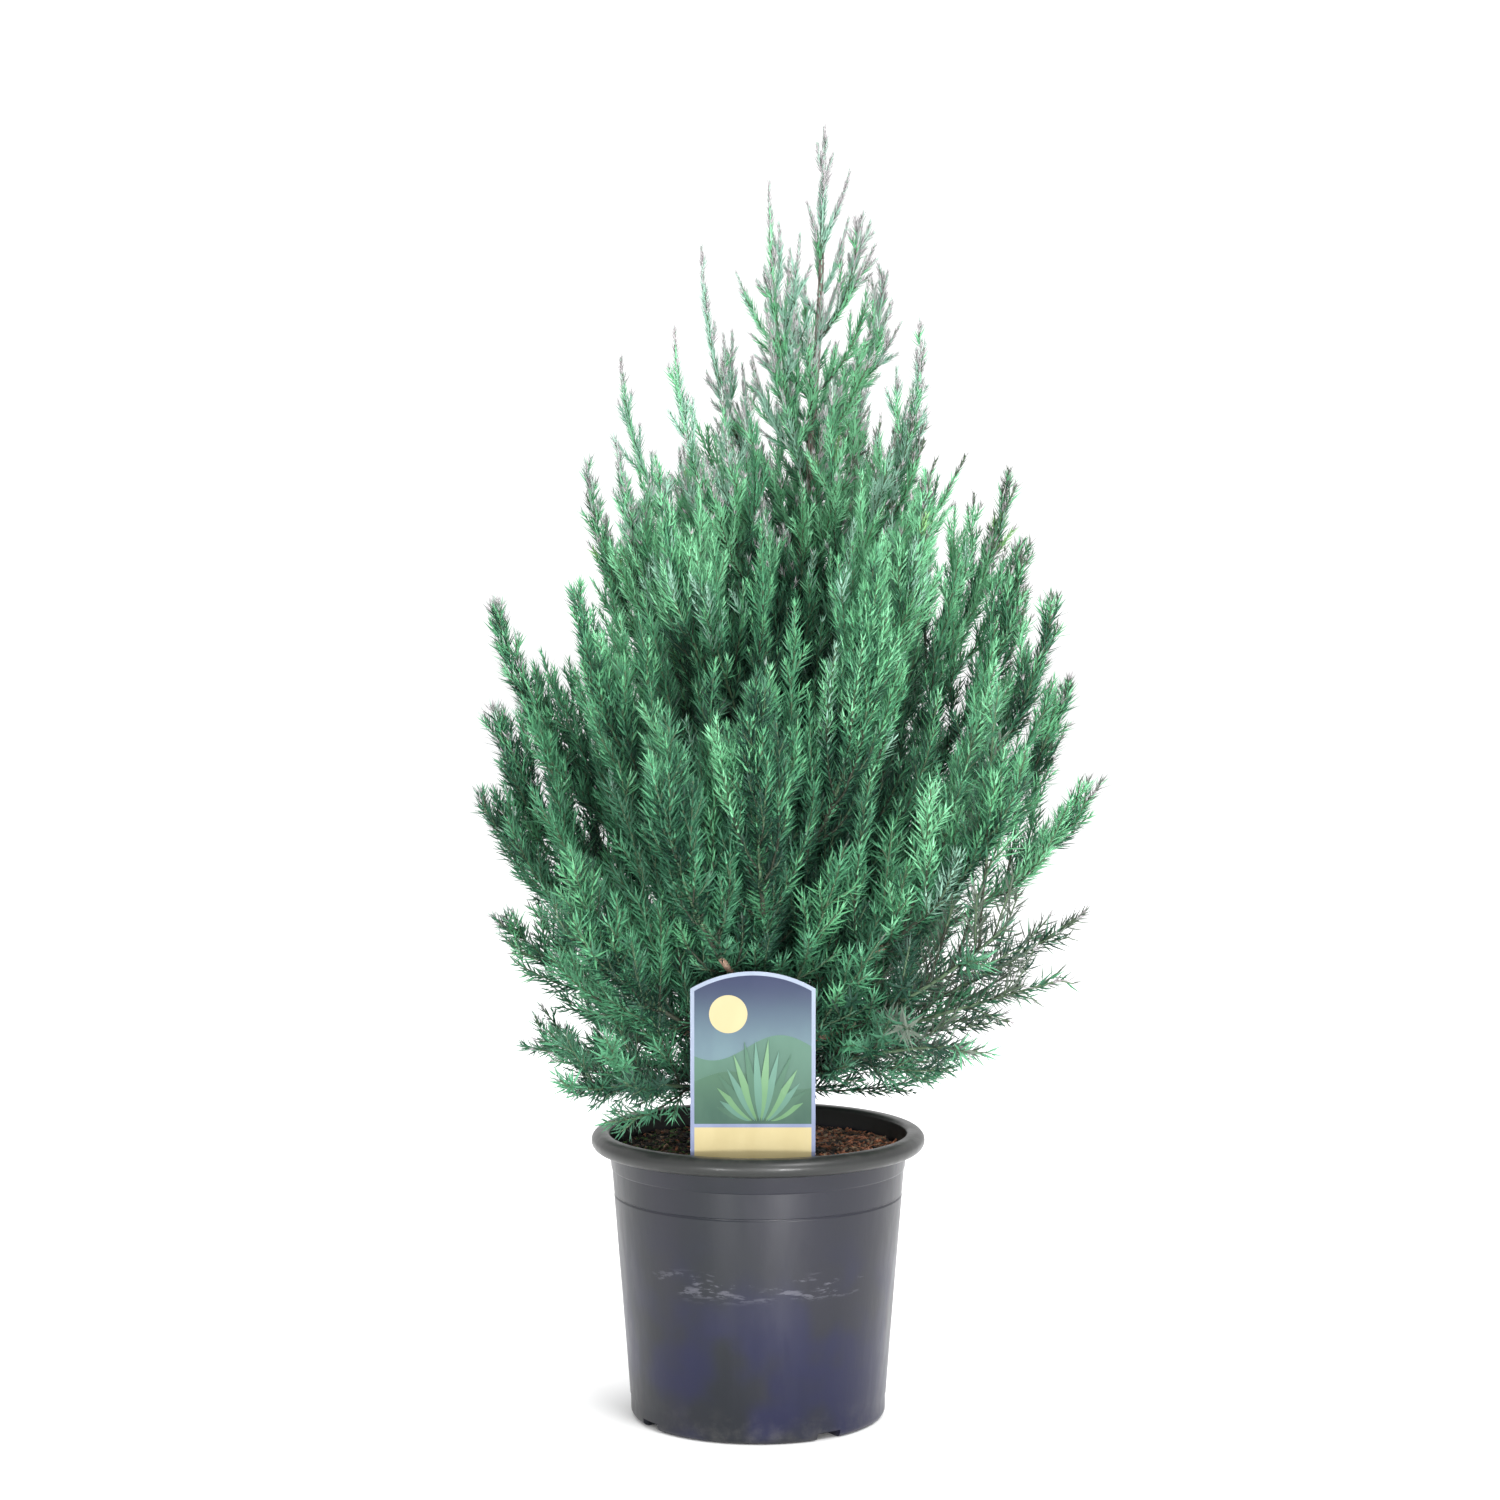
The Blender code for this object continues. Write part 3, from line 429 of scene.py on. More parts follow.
def print_finish(name, grain, low, high, bottom, top):
    """Ink on card that fades from one colour to another with height, a little uneven."""
    made, tree, shader = new_finish(name, 0.42, Specular_IOR_Level=0.18)
    fade = between(tree, axes_of(tree, place_in(tree))["Z"], low, high)
    ink = blend_colours(tree, fade, bottom, top)
    uneven = placed(tree, grain, Stretch=(1.0, 1.0, 0.5), Fine=420.0, Broad=70.0)
    worn = combine(tree, uneven["Patches"], 0.14)
    lighter = tuple(min(1.0, value * 1.25 + 0.02) for value in top)
    tree.links.new(blend_colours(tree, worn, ink, lighter), shader.inputs["Base Color"])
    return made


# Meshes made from arrays


class Sheaf:
    """Triangles gathered for one joined mesh, each with the number of its material."""

    def __init__(self):
        self.points, self.faces, self.finishes, self.count = [], [], [], 0

    def add(self, points, faces, finish):
        self.points.append(points)
        self.faces.append(faces + self.count)
        self.finishes.append(np.broadcast_to(finish, len(faces)))
        self.count += len(points)

    def add_tube(self, points, radii, sides, finishes):
        """A tube. Its finishes are one for all of it, or one for each stretch between rings."""
        verts, faces = tube_arrays(points, radii, sides)
        kinds = np.broadcast_to(finishes, len(points) - 1)
        self.add(verts, faces, np.tile(np.repeat(kinds, sides), 2))

    def piece(self, name, materials, slot, smooth=False):
        points = np.concatenate(self.points)
        faces = np.concatenate(self.faces)
        sides = faces.shape[1]
        mesh = bpy.data.meshes.new(name)
        mesh.vertices.add(len(points))
        mesh.vertices.foreach_set("co", points.astype(np.float32).ravel())
        mesh.loops.add(faces.size)
        mesh.loops.foreach_set("vertex_index", faces.astype(np.int32).ravel())
        mesh.polygons.add(len(faces))
        mesh.polygons.foreach_set("loop_start", np.arange(0, faces.size, sides, dtype=np.int32))
        for made in materials:
            mesh.materials.append(made)
        numbers = np.concatenate(self.finishes).astype(np.int32)
        mesh.polygons.foreach_set("material_index", numbers)
        mesh.update(calc_edges=True)
        if smooth:
            mesh.shade_smooth()
        return piece_of(name, mesh)


def add_object(name, data):
    obj = bpy.data.objects.new(name, data)
    bpy.context.scene.collection.objects.link(obj)
    return obj


def piece_of(name, mesh):
    """A mesh as a piece that rides on the plant's body."""
    obj = add_object(name, mesh)
    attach(obj, "root")
    return obj


def mesh_of(name, points, faces, finish=None, edges=()):
    mesh = bpy.data.meshes.new(name)
    mesh.from_pydata(points, edges, faces)
    if finish:
        mesh.materials.append(finish)
    return mesh


def frames_along(points):
    """The unit directions along a line of points, and two more square to each."""
    along = np.gradient(points, axis=0)
    along /= np.linalg.norm(along, axis=1, keepdims=True)
    across = np.cross(along, np.array(SPRAY_SIDE))
    across /= np.linalg.norm(across, axis=1, keepdims=True)
    return along, across, np.cross(along, across)


def tube_arrays(points, radii, sides):
    """Rings round a line of points, joined by triangles."""
    _, across, over = frames_along(points)
    angles = np.arange(sides) * 2 * math.pi / sides
    spokes = across[:, None] * np.cos(angles)[:, None] + over[:, None] * np.sin(angles)[:, None]
    rings = points[:, None] + spokes * np.asarray(radii)[:, None, None]
    start = np.arange(len(points) - 1)[:, None] * sides
    here, after = np.arange(sides)[None], (np.arange(sides)[None] + 1) % sides
    a, b = start + here, start + after
    lower = np.stack([a, b, b + sides], axis=2)
    upper = np.stack([a, b + sides, a + sides], axis=2)
    faces = np.concatenate([lower.reshape(-1, 3), upper.reshape(-1, 3)])
    return rings.reshape(-1, 3), faces


def as_array(points):
    return np.array([tuple(point) for point in points])


def steps_along(points):
    return np.linalg.norm(np.diff(points, axis=0), axis=1)


def run_along(points):
    """How far along a line each of its points is."""
    return np.concatenate([[0.0], np.cumsum(steps_along(points))])


# Space that the foliage keeps to

RIGHT_RISE = 0.012  # how much higher the foliage's floor is on the right
RIGHT_RUN = 0.05  # how far to the right it has risen
INTERLEAVING = 0.036  # how far fine twigs reach in among the next mass's


class Crown:
    """The stems of all the masses, from which each mass's own space is told."""

    def __init__(self, limbs):
        lines = [as_array(limb.stretch(limb.fork, 1.0, STEM_SAMPLES)) for limb in limbs]
        self.starts = np.concatenate([line[:-1] for line in lines])
        self.along = np.concatenate([line[1:] for line in lines]) - self.starts
        self.owners = np.repeat(np.arange(len(limbs)), STEM_SAMPLES - 1)

    def room(self, points, index):
        """How far points are inside one mass's space. Outside it that is less than 0."""
        offset = points[:, None] - self.starts
        share = (offset * self.along).sum(2) / (self.along * self.along).sum(1)
        nearest = offset - np.clip(share, 0, 1)[..., None] * self.along
        table = np.linalg.norm(nearest, axis=2)
        mine = self.owners == index
        border = (table[:, ~mine].min(1) - table[:, mine].min(1)) / 2
        rise = RIGHT_RISE * np.clip(points[:, 0] / RIGHT_RUN, 0, 1)
        return np.minimum(border + INTERLEAVING, points[:, 2] - FOLIAGE_FLOOR - rise)


class OpenAir:
    """Room for trunk shoots and ropes, which go where they like above the pot."""

    def room(self, points, index):
        return points[:, 2] - FOLIAGE_FLOOR


def hides_label(points):
    """Where a point is on the label, or in front of it for someone who looks at it."""
    half = LABEL_WIDTH / 2 + LABEL_CLEARANCE
    beside = np.abs(points[:, 0] - LABEL_CENTRE_X) < half
    ahead = LABEL_Y + LABEL_CLEARANCE - points[:, 1]
    sight = LABEL_TOP + LABEL_CLEARANCE + LABEL_SIGHT * np.maximum(ahead, 0)
    return beside & (ahead > 0) & (points[:, 2] < sight)


# Shades and habits

# Darker shades also serve as painted shade in the crown's hollow and near the soil, lighter ones
# as painted light high up and on the right.
SHADES = {
    "needle_shade": (0.014, 0.050, 0.032),
    "needle_deep": (0.042, 0.142, 0.080),
    "needle_sea": (0.078, 0.262, 0.138),
    "needle_green": (0.110, 0.345, 0.170),
    "needle_bright": (0.188, 0.490, 0.272),
    "needle_glaucous": (0.255, 0.450, 0.350),
    "needle_fresh": (0.240, 0.470, 0.190),
    "needle_frosted": (0.310, 0.415, 0.360),
    "needle_mauve": (0.370, 0.350, 0.362),
    "needle_dusty": (0.088, 0.112, 0.088),
}
SHADE_NUMBERS = {name: number for number, name in enumerate(SHADES)}
GREY_TIPS = np.array([SHADE_NUMBERS[f"needle_{kind}"] for kind in ("frosted", "mauve", "dusty")])
LIGHTER = np.array([1, 2, 3, 4, 4, 5, 6, 7, 8, 9])  # the next lighter shade of each, used for lighter tips and painted light
DARKER = np.array([0, 0, 1, 1, 2, 2, 2, 1, 1, 9])  # and the next darker one, used for painted shade
DULL = np.array([0, 1, 2, 2, 2, 2, 2, 9, 9, 9])  # a shoot's duller shade near the soil: painted shade
STEM_KINDS = 6  # shades that may run up a whole shoot; a twig may have any of them
TWIG_SHADES = {
    "twig_brown": (0.030, 0.036, 0.022),
    "twig_green": (0.080, 0.130, 0.070),
    "twig_grey": (0.230, 0.215, 0.215),
}
TWIG_BROWN, TWIG_GREEN, TWIG_GREY = range(3)


class Habit(NamedTuple):
    """How the shoots of a tier grow."""

    spacing: float  # between side shoots, along a stem
    reach: float  # of a side shoot, over the source's spray length
    taper: float  # longest side shoot, over what is left of its stem
    angles: tuple  # degrees off the stem at which shoots set out, low and high on it
    upturn: float  # how far a shoot bends upwards
    end: float  # length of a stem's end, which is dressed like a shoot
    whip: float  # length at a stem's tip that is slender, with short needles
    grey: float  # length at a stem's tip that is grey
    needle: float  # length of a needle
    open: float  # degrees at which needles stand out
    whorl: float  # between rings of needles
    twigs: float  # between twigs along a shoot
    twig: float  # length of a twig over what is left of its shoot
    longest: float  # of the twigs
    weights: tuple  # how the shades are dealt out


# The tiers' weights deal darker shades low in the crown and lighter ones high up: partly the
# foliage's own colours, partly painted light from above.
HABITS = {
    "skirt": Habit(0.0076, 1.10, 0.85, (58, 36), 0.3, 0.07, 0.006, 0.006, 0.0112, 48, 0.0026,
                   0.0070, 0.45, 0.030, (3, 7, 4, 1, 0.1, 0.15, 0, 0, 0, 0.3)),
    "low": Habit(0.0078, 1.15, 0.85, (60, 36), 1.0, 0.08, 0.007, 0.005, 0.0112, 47, 0.0026,
                 0.0072, 0.45, 0.032, (2, 6, 7, 3, 0.4, 0.15, 0, 0, 0, 0.3)),
    "broad": Habit(0.0070, 1.35, 0.90, (62, 36), 1.8, 0.09, 0.010, 0.004, 0.0108, 44, 0.0025,
                   0.0066, 0.40, 0.021, (2, 6, 8, 2.8, 0.4, 0.15, 0, 0, 0, 0)),
    "flank": Habit(0.0068, 1.40, 0.92, (62, 36), 2.0, 0.09, 0.016, 0.006, 0.0104, 41, 0.0024,
                   0.0064, 0.40, 0.019, (2, 6, 8, 3.2, 0.4, 0.15, 0, 0, 0, 0)),
    "middle": Habit(0.0064, 1.45, 0.94, (64, 34), 2.0, 0.09, 0.022, 0.009, 0.0100, 39, 0.0023,
                    0.0064, 0.40, 0.018, (0, 5.5, 8, 3.4, 1.1, 0.4, 0, 0, 0, 0)),
    "upper": Habit(0.0064, 1.45, 0.94, (66, 32), 1.8, 0.09, 0.028, 0.012, 0.0092, 35, 0.0021,
                   0.0070, 0.40, 0.022, (0, 0.6, 3, 6, 9, 3, 0.5, 0, 0, 0)),
    "shoulder": Habit(0.0072, 1.40, 0.90, (60, 30), 1.7, 0.09, 0.032, 0.015, 0.0082, 32, 0.0018,
                      0.0088, 0.42, 0.036, (0, 0, 1, 4, 10, 5, 0.5, 0.6, 0, 0)),
    "top": Habit(0.0084, 1.1, 0.78, (40, 27), 1.0, 0.03, 0.036, 0.024, 0.0072, 29, 0.0012,
                 0.0110, 0.42, 0.024, (0, 0, 1, 3, 6, 8, 0.5, 3, 0, 0)),
    "leader": Habit(0.0100, 1.0, 0.60, (30, 22), 0.5, 0.0, 0.036, 0.030, 0.0072, 26, 0.0009,
                    0.0400, 0.40, 0.020, (0, 0, 0, 2, 2, 9, 0, 4, 0, 0)),
}
DROOP = dict(  # what differs where low limbs droop
    spacing=0.0130, reach=1.0, taper=0.75, angles=(46, 36), upturn=0.05, needle=0.0140,
    open=56, whorl=0.0036, twigs=0.0190, twig=0.32, longest=0.018,
    weights=(3, 4, 2.0, 0.3, 0, 0, 0, 0, 0, 7),
)
DROOP_TIERS = ("skirt", "low")
DROOP_BEYOND = 0.10  # those of their limbs droop that reach further to the right than this
DROOP_FROM = 0.060  # up to this far to the right, their shoots still stand close together


# Painted shade in the crown's hollow and at the feet of shoots

CROWN_RADII = ((0.20, 0.130), (0.24, 0.146), (0.28, 0.164), (0.33, 0.168), (0.36, 0.166),
               (0.40, 0.158), (0.45, 0.140), (0.48, 0.126), (0.50, 0.116), (0.53, 0.102),
               (0.56, 0.082), (0.60, 0.062), (0.65, 0.040), (0.73, 0.014))  # by height
HOLLOW = (0.38, 0.65)  # shares of the radius: within the first is full painted shade, beyond the second there is none
HOLLOW_TOP = (0.43, 0.52)  # heights over which the hollow's painted shade fades out
OPEN_TOP = 6.0  # how much less painted shade shoots have for each metre above the hollow
LIT_BELOW, LIT_RUN = 0.29, 0.08  # painted shade is weaker under this height and whole this far above it
LIT_SHARE = 0.45  # what is left of it there
SHOOT_PAINTED_SHADE = (1.7, -1.8)  # painted shade on a shoot at its foot and at its tip
TWIG_PAINTED_SHADE = 0.3  # how much more painted shade a twig has at its foot, and less at its tip
PAINTED_SHADE_JITTER, SHOOT_JITTER = 0.5, 0.4  # of the hollow's painted shade and the shoots'
PAINTED_SHADE_STEPS = (0.5, 1.0)  # a needle is one shade darker beyond each step of painted shade


def depth_share(points):
    """How far out in the crown points are, from 0 at the trunk to 1 at the tips."""
    heights, radii = zip(*CROWN_RADII)
    lean = np.clip((points[:, 2] - TRUNK_FOOT) / (LEADER_TOP - TRUNK_FOOT), 0, 1)
    middle = TRUNK_FOOT_X + (LEADER_TOP_X - TRUNK_FOOT_X) * lean**2 * (3 - 2 * lean)
    away = np.hypot(points[:, 0] - middle, points[:, 1])
    return away / np.interp(points[:, 2], heights, radii)


def painted_shade_at(spot, left, painted_shade_ends, draw):
    """How much painted shade needles have, in the crown's hollow and by the share of their twig
    left ahead of them.
    """
    height = spot[:, 2]
    painted_shade = (HOLLOW[1] - depth_share(spot)) / (HOLLOW[1] - HOLLOW[0]) + PAINTED_SHADE_JITTER * draw
    painted_shade *= np.clip((HOLLOW_TOP[1] - height) / (HOLLOW_TOP[1] - HOLLOW_TOP[0]), 0, 1)
    own = np.interp(left, (0, 1), painted_shade_ends[::-1]) + SHOOT_JITTER * draw
    painted_shade = np.maximum(painted_shade, own - OPEN_TOP * np.clip(height - HOLLOW_TOP[0], 0, None))
    return painted_shade * (LIT_SHARE + (1 - LIT_SHARE) * np.clip((height - LIT_BELOW) / LIT_RUN, 0, 1))


# Needles

WHORL_NEEDLES = 3
NEEDLE_WIDTH = 0.00056  # half of a long needle's width where it is widest
NEEDLE_GROWTH = (0.55, 0.45, 0.009)  # fixed share of its width, growing share, length for both
NEEDLE_BELLY = 0.3  # how far along it is widest
NEEDLE_UPTURN = 0.06  # how far its tip bends up, over its length
BRISTLE_SHARE = 0.50  # length of the needles at a tip, over full length
CLOSED_SHARE = 0.35  # share of their angle that doesn't shrink with their length
TURN_JITTER, OPEN_JITTER, LENGTH_JITTER = 0.35, 9, 0.22  # radians, degrees, and a share
LIGHT_TIP = 0.009  # length at a twig's tip that has a lighter shade, as painted light
LIGHT_ABOVE, LIGHT_JITTER = 0.395, 0.04  # painted light: such tips are higher than this
LIGHT_BESIDE = 0.06  # or further to the right than this, on the key light's side
TIP_RAGGED = 0.4  # how much the length of light and grey tips varies
FROSTED_BELOW = -0.2  # a grey tip is frosted where its draw from -1 to 1 is less than this
DIM_BESIDE = 0.045  # grey tips are darker further to the right than this
DIM_BELOW = 0.56  # and lower than this


def needle_shades(shade, spot, ahead, grey, painted_shade, draws):
    """A twig's needles in its shade: darker in painted shade, and at its tip lighter as painted
    light, or grey.
    """
    lighter = (ahead < LIGHT_TIP * (1 + TIP_RAGGED * draws[0])) & (painted_shade < PAINTED_SHADE_STEPS[0])
    high = spot[:, 2] > LIGHT_ABOVE + LIGHT_JITTER * draws[3]
    lighter &= (high | (spot[:, 0] > LIGHT_BESIDE)) & (spot[:, 2] > LIT_BELOW)
    shades = np.where(lighter, LIGHTER[shade], shade)
    for step in PAINTED_SHADE_STEPS:
        shades = np.where(painted_shade > step, DARKER[shades], shades)
    dim = (spot[:, 0] > DIM_BESIDE) & (spot[:, 2] < DIM_BELOW)
    tips = GREY_TIPS[(draws[1] > FROSTED_BELOW).astype(int) + dim]
    return np.where(ahead < grey * (1 + TIP_RAGGED * draws[3]), tips, shades)


class Needles:
    """Where each needle of a tier stands, gathered twig by twig."""

    def __init__(self):
        self.rows = []

    def line_twig(self, points, habit, whip, shade, start, rng, grey=0.0, painted_shade_ends=(0.0, 0.0)):
        """Rings of needles up a twig. They shrink and lie closer towards its tip."""
        run = run_along(points)
        places = np.arange(start, run[-1], habit.whorl)
        if not len(places):
            return
        ahead = run[-1] - places
        full = BRISTLE_SHARE + (1 - BRISTLE_SHARE) * np.clip(ahead / whip, 0, 1)
        spot, *axes = (
            np.repeat(np.stack([np.interp(places, run, column) for column in a.T], 1),
                      WHORL_NEEDLES, axis=0)
            for a in (points, *frames_along(points))
        )
        full, ahead = np.repeat(full, WHORL_NEEDLES), np.repeat(ahead, WHORL_NEEDLES)
        count = len(spot)
        draws = np.random.default_rng(rng.randrange(1 << 30)).uniform(-1, 1, (5, count))
        turn = np.arange(count) * (2 * math.pi / WHORL_NEEDLES)
        turn += np.repeat(np.arange(len(places)), WHORL_NEEDLES) * math.pi / WHORL_NEEDLES
        turn += draws[0] * TURN_JITTER
        angle = habit.open * (CLOSED_SHARE + (1 - CLOSED_SHARE) * full) + OPEN_JITTER * draws[1]
        angle = np.radians(angle)
        length = habit.needle * full * (1 + LENGTH_JITTER * draws[2])
        # painted shade in the crown's hollow and at the feet of shoots
        painted_shade = painted_shade_at(spot, ahead / run[-1], painted_shade_ends, draws[4])
        shades = needle_shades(shade, spot, ahead, grey, painted_shade, draws)
        side = axes[1] * np.cos(turn)[:, None] + axes[2] * np.sin(turn)[:, None]
        lean = axes[0] * np.cos(angle)[:, None] + side * np.sin(angle)[:, None]
        self.rows.append(np.column_stack([spot, side, lean * length[:, None], shades]))

    def piece(self, name, materials):
        """Each needle as two triangles that meet along its middle."""
        rows = np.concatenate(self.rows)
        spot, side, reach, shades = rows[:, 0:3], rows[:, 3:6], rows[:, 6:9], rows[:, 9]
        tip = spot + reach
        clear = ~hides_label(tip) & ~hides_label(spot) & (tip[:, 2] > POT_HEIGHT + 0.001)
        spot, side, reach, tip, shades = (a[clear] for a in (spot, side, reach, tip, shades))
        long = np.linalg.norm(reach, axis=1, keepdims=True)
        wide = np.cross(reach / long, side)
        wide /= np.linalg.norm(wide, axis=1, keepdims=True)
        fixed, grows, whole = NEEDLE_GROWTH
        half = wide * (NEEDLE_WIDTH * (fixed + grows * long / whole))
        belly = spot + reach * NEEDLE_BELLY
        tip = tip + np.array(UP) * long * NEEDLE_UPTURN
        corners = np.stack([belly + half, belly - half, spot, tip], axis=1)
        base = np.arange(len(spot))[:, None, None] * 4
        faces = (base + np.array([[0, 3, 2], [3, 1, 2]])[None]).reshape(-1, 3)
        sheaf = Sheaf()
        sheaf.add(corners.reshape(-1, 3), faces, np.repeat(shades, 2))
        return sheaf.piece(name, materials, "foliage")


# Shoots and twigs

SHOOT_STEPS, TWIG_STEPS = 6, 2
OUTWARD_LEAN = 0.22  # how far shoots lean away from the trunk as they bend upwards
OWN_LEAN = 0.16  # how far each leans in a direction of its own
WANDER = 0.08  # how much its direction changes at each step
SHORTEST_SHOOT = 0.006
SHOOT_TIP_RADIUS, SHOOT_THICKNESS = 0.0004, 0.004  # and what is added at its foot, over its length
TWIG_RADII = (0.0005, 0.0003)
SHOOT_SIDES, TWIG_SIDES = 4, 3
SHOOT_WHIP = (0.6, 0.5, 0.004)  # over the habit's, at most over its length, and what is added
TWIG_WHIP = (0.5, 0.6, 0.003)
GREEN_SHARES = (0.35, 0.6)  # green share of the lowest shoots, and what the highest have more
LENGTHS = (1.0, 0.8, 0.62, 0.45, 0.3)  # lengths to try before a shoot is skipped
BEYOND_CROWN = 0.12  # how far past the crown's radius a shoot may reach from near its edge
WHIPPY = 0.030  # where whips are this long, all shoots end in grey
WHIPPY_GREY = 0.8  # share of the stem's grey that they have
GREY_FROM = 0.45  # elsewhere only shoots beyond this share of the stem have some
BUSHY, WHIP_SHARE = 0.90, 6.0  # a shoot's bushy share, and how much of it a metre of whip takes
FIRST_TWIG = 0.06  # share of a shoot where it stands
LOW_TWIGS = (0.6, 0.25)  # how long the first ones are, and where they have their full length
TWIG_ANGLES, TWIG_SPREAD, TWIG_UPTURN = (24, 40), (0.7, 1.15), 0.3
GREY_TWIG = 0.4  # a twig's grey over its shoot's, on whippy shoots
SHORTEST_TWIG = 0.005
NEW_SHADE = 0.35  # the chance that a twig differs from the one before
SUNNY_FROM, SUNNY_ABOVE = 0.040, 0.31  # further right and higher, half of the shoots are lighter: painted light on the key light's side
DULL_BELOW = 0.235  # shoots are dull that start lower than this: painted shade near the soil


def shoot_line(root, direction, length, upturn, steps, rng):
    """A shoot that sets out in a direction and soon bends upwards, and a little outwards."""
    points = [root]
    away = root - trunk_axis(root.z)
    own_lean = Vector((rng.uniform(-1, 1), rng.uniform(-1, 1), 0.0)) * OWN_LEAN
    bend = UP + own_lean + away.normalized() * (OUTWARD_LEAN if away.length > 0.01 else 0.0)
    for _ in range(steps):
        wander = Vector([rng.uniform(-WANDER, WANDER) for _ in range(3)])
        direction = (direction + bend * (upturn / steps) + wander).normalized()
        points.append(points[-1] + direction * (length / steps))
    return points


def around(heading, turn, angle):
    """A direction that stands off a heading by an angle, turned about it."""
    side = heading.cross(SPRAY_SIDE).normalized()
    side = Matrix.Rotation(math.radians(turn), 3, heading) @ side
    return heading * math.cos(math.radians(angle)) + side * math.sin(math.radians(angle))


def deal_shade(habit, rng, stem=False):
    kinds = STEM_KINDS if stem and habit.weights[-1] < 1 else len(SHADES)
    return rng.choices(range(kinds), habit.weights[:kinds])[0]


def stem_finishes(count, green_share, grey_share):
    """Brown along a stem, then green, and grey at its tip."""
    share = np.arange(count) / count
    kinds = np.where(share > 1 - green_share, TWIG_GREEN, TWIG_BROWN)
    return np.where(share > 1 - grey_share, TWIG_GREY, kinds)


class Patch(NamedTuple):
    """What the shoots of one limb share."""

    index: int  # of the limb
    crown: object  # which tells the room that they have
    rng: random.Random
    needles: Needles
    twigs: Sheaf


def clear_shoot(limb, patch, root, direction, reach, habit, beyond, seed):
    """The longest form of a shoot that keeps to the mass's space, and near the limb's tip."""
    along = np.array((limb.tip - limb.foot).normalized())
    border = max(1.0, depth_share(as_array([root]))[0] + BEYOND_CROWN)
    for scale in LENGTHS:
        line = shoot_line(root, direction, reach * scale, habit.upturn, SHOOT_STEPS,
                          random.Random(seed))
        points = as_array(line)
        passes = ((points - np.array(limb.tip)) @ along).max() > beyond
        if passes or hides_label(points).any() or reach * scale < SHORTEST_SHOOT:
            continue
        room = patch.crown.room(points[2:], patch.index)
        if depth_share(points).max() < border and room.min() > 0:
            return line
    return None


def whip_length(habit, length, shares):
    return min(habit.whip * shares[0], length * shares[1]) + shares[2]


def dress_shoot(patch, shoot, habit, share):
    """A side shoot with its own twigs, which are shorter towards its tip."""
    index, crown, rng, needles, twigs = patch
    line = as_array(shoot)
    length = steps_along(line).sum()
    whippy = habit.whip >= WHIPPY
    grey = habit.grey * (WHIPPY_GREY if whippy else max(0.0, share - GREY_FROM))
    finishes = stem_finishes(len(line) - 1, GREEN_SHARES[0] + GREEN_SHARES[1] * share, 0.0)
    thick = SHOOT_TIP_RADIUS + SHOOT_THICKNESS * length
    twigs.add_tube(line, np.linspace(thick, SHOOT_TIP_RADIUS, len(line)), SHOOT_SIDES, finishes)
    shade = deal_shade(habit, rng, stem=True)
    # painted light: half of the shoots high on the right are one shade lighter
    if line[-1, 0] > SUNNY_FROM and line[-1, 2] > SUNNY_ABOVE and rng.random() < 0.5:
        shade = LIGHTER[shade]
    # painted shade: shoots that start near the soil are duller
    if line[0, 2] < DULL_BELOW:
        shade = DULL[shade]
    whip = whip_length(habit, length, SHOOT_WHIP)
    # the shoot's own needles get painted shade, most at its foot
    needles.line_twig(line, habit, whip, shade, length * 0.05, rng, grey, SHOOT_PAINTED_SHADE)
    bushy = BUSHY - WHIP_SHARE * habit.whip
    count = int(length * bushy / habit.twigs)
    turn = rng.uniform(0, 360)
    for i in range(count):
        part = FIRST_TWIG + bushy * (i + 0.5) / count
        spot = part * (len(shoot) - 1)
        k = min(int(spot), len(shoot) - 2)
        root = shoot[k].lerp(shoot[k + 1], spot - k)
        heading = (shoot[k + 1] - shoot[k]).normalized()
        direction = around(heading, turn + GOLDEN_ANGLE * i, rng.uniform(*TWIG_ANGLES))
        reach = min(length * (1 - part) * habit.twig + SHORTEST_TWIG, habit.longest)
        low = 1 - LOW_TWIGS[0]
        reach *= rng.uniform(*TWIG_SPREAD) * (LOW_TWIGS[0] + low * min(part / LOW_TWIGS[1], 1.0))
        upturn = habit.upturn * TWIG_UPTURN
        points = as_array(shoot_line(root, direction, reach, upturn, TWIG_STEPS, rng))
        if hides_label(points).any() or crown.room(points[1:], index).min() < 0:
            continue
        twigs.add_tube(points, np.linspace(*TWIG_RADII, len(points)), TWIG_SIDES, TWIG_GREEN)
        if rng.random() < NEW_SHADE:
            shade = deal_shade(habit, rng)
            # painted shade near the soil
            if root.z < DULL_BELOW:
                shade = DULL[shade]
        whip = whip_length(habit, reach, TWIG_WHIP)
        # painted shade: twigs low on a shoot are darker than those near its tip
        painted_shade = SHOOT_PAINTED_SHADE[0] + (SHOOT_PAINTED_SHADE[1] - SHOOT_PAINTED_SHADE[0]) * part
        painted_shade_ends = (painted_shade + TWIG_PAINTED_SHADE, painted_shade - TWIG_PAINTED_SHADE)
        tip = GREY_TWIG * grey if whippy else 0.0
        needles.line_twig(points, habit, whip, shade, 0.001, rng, tip, painted_shade_ends)


# Foliage on the limbs and the trunk

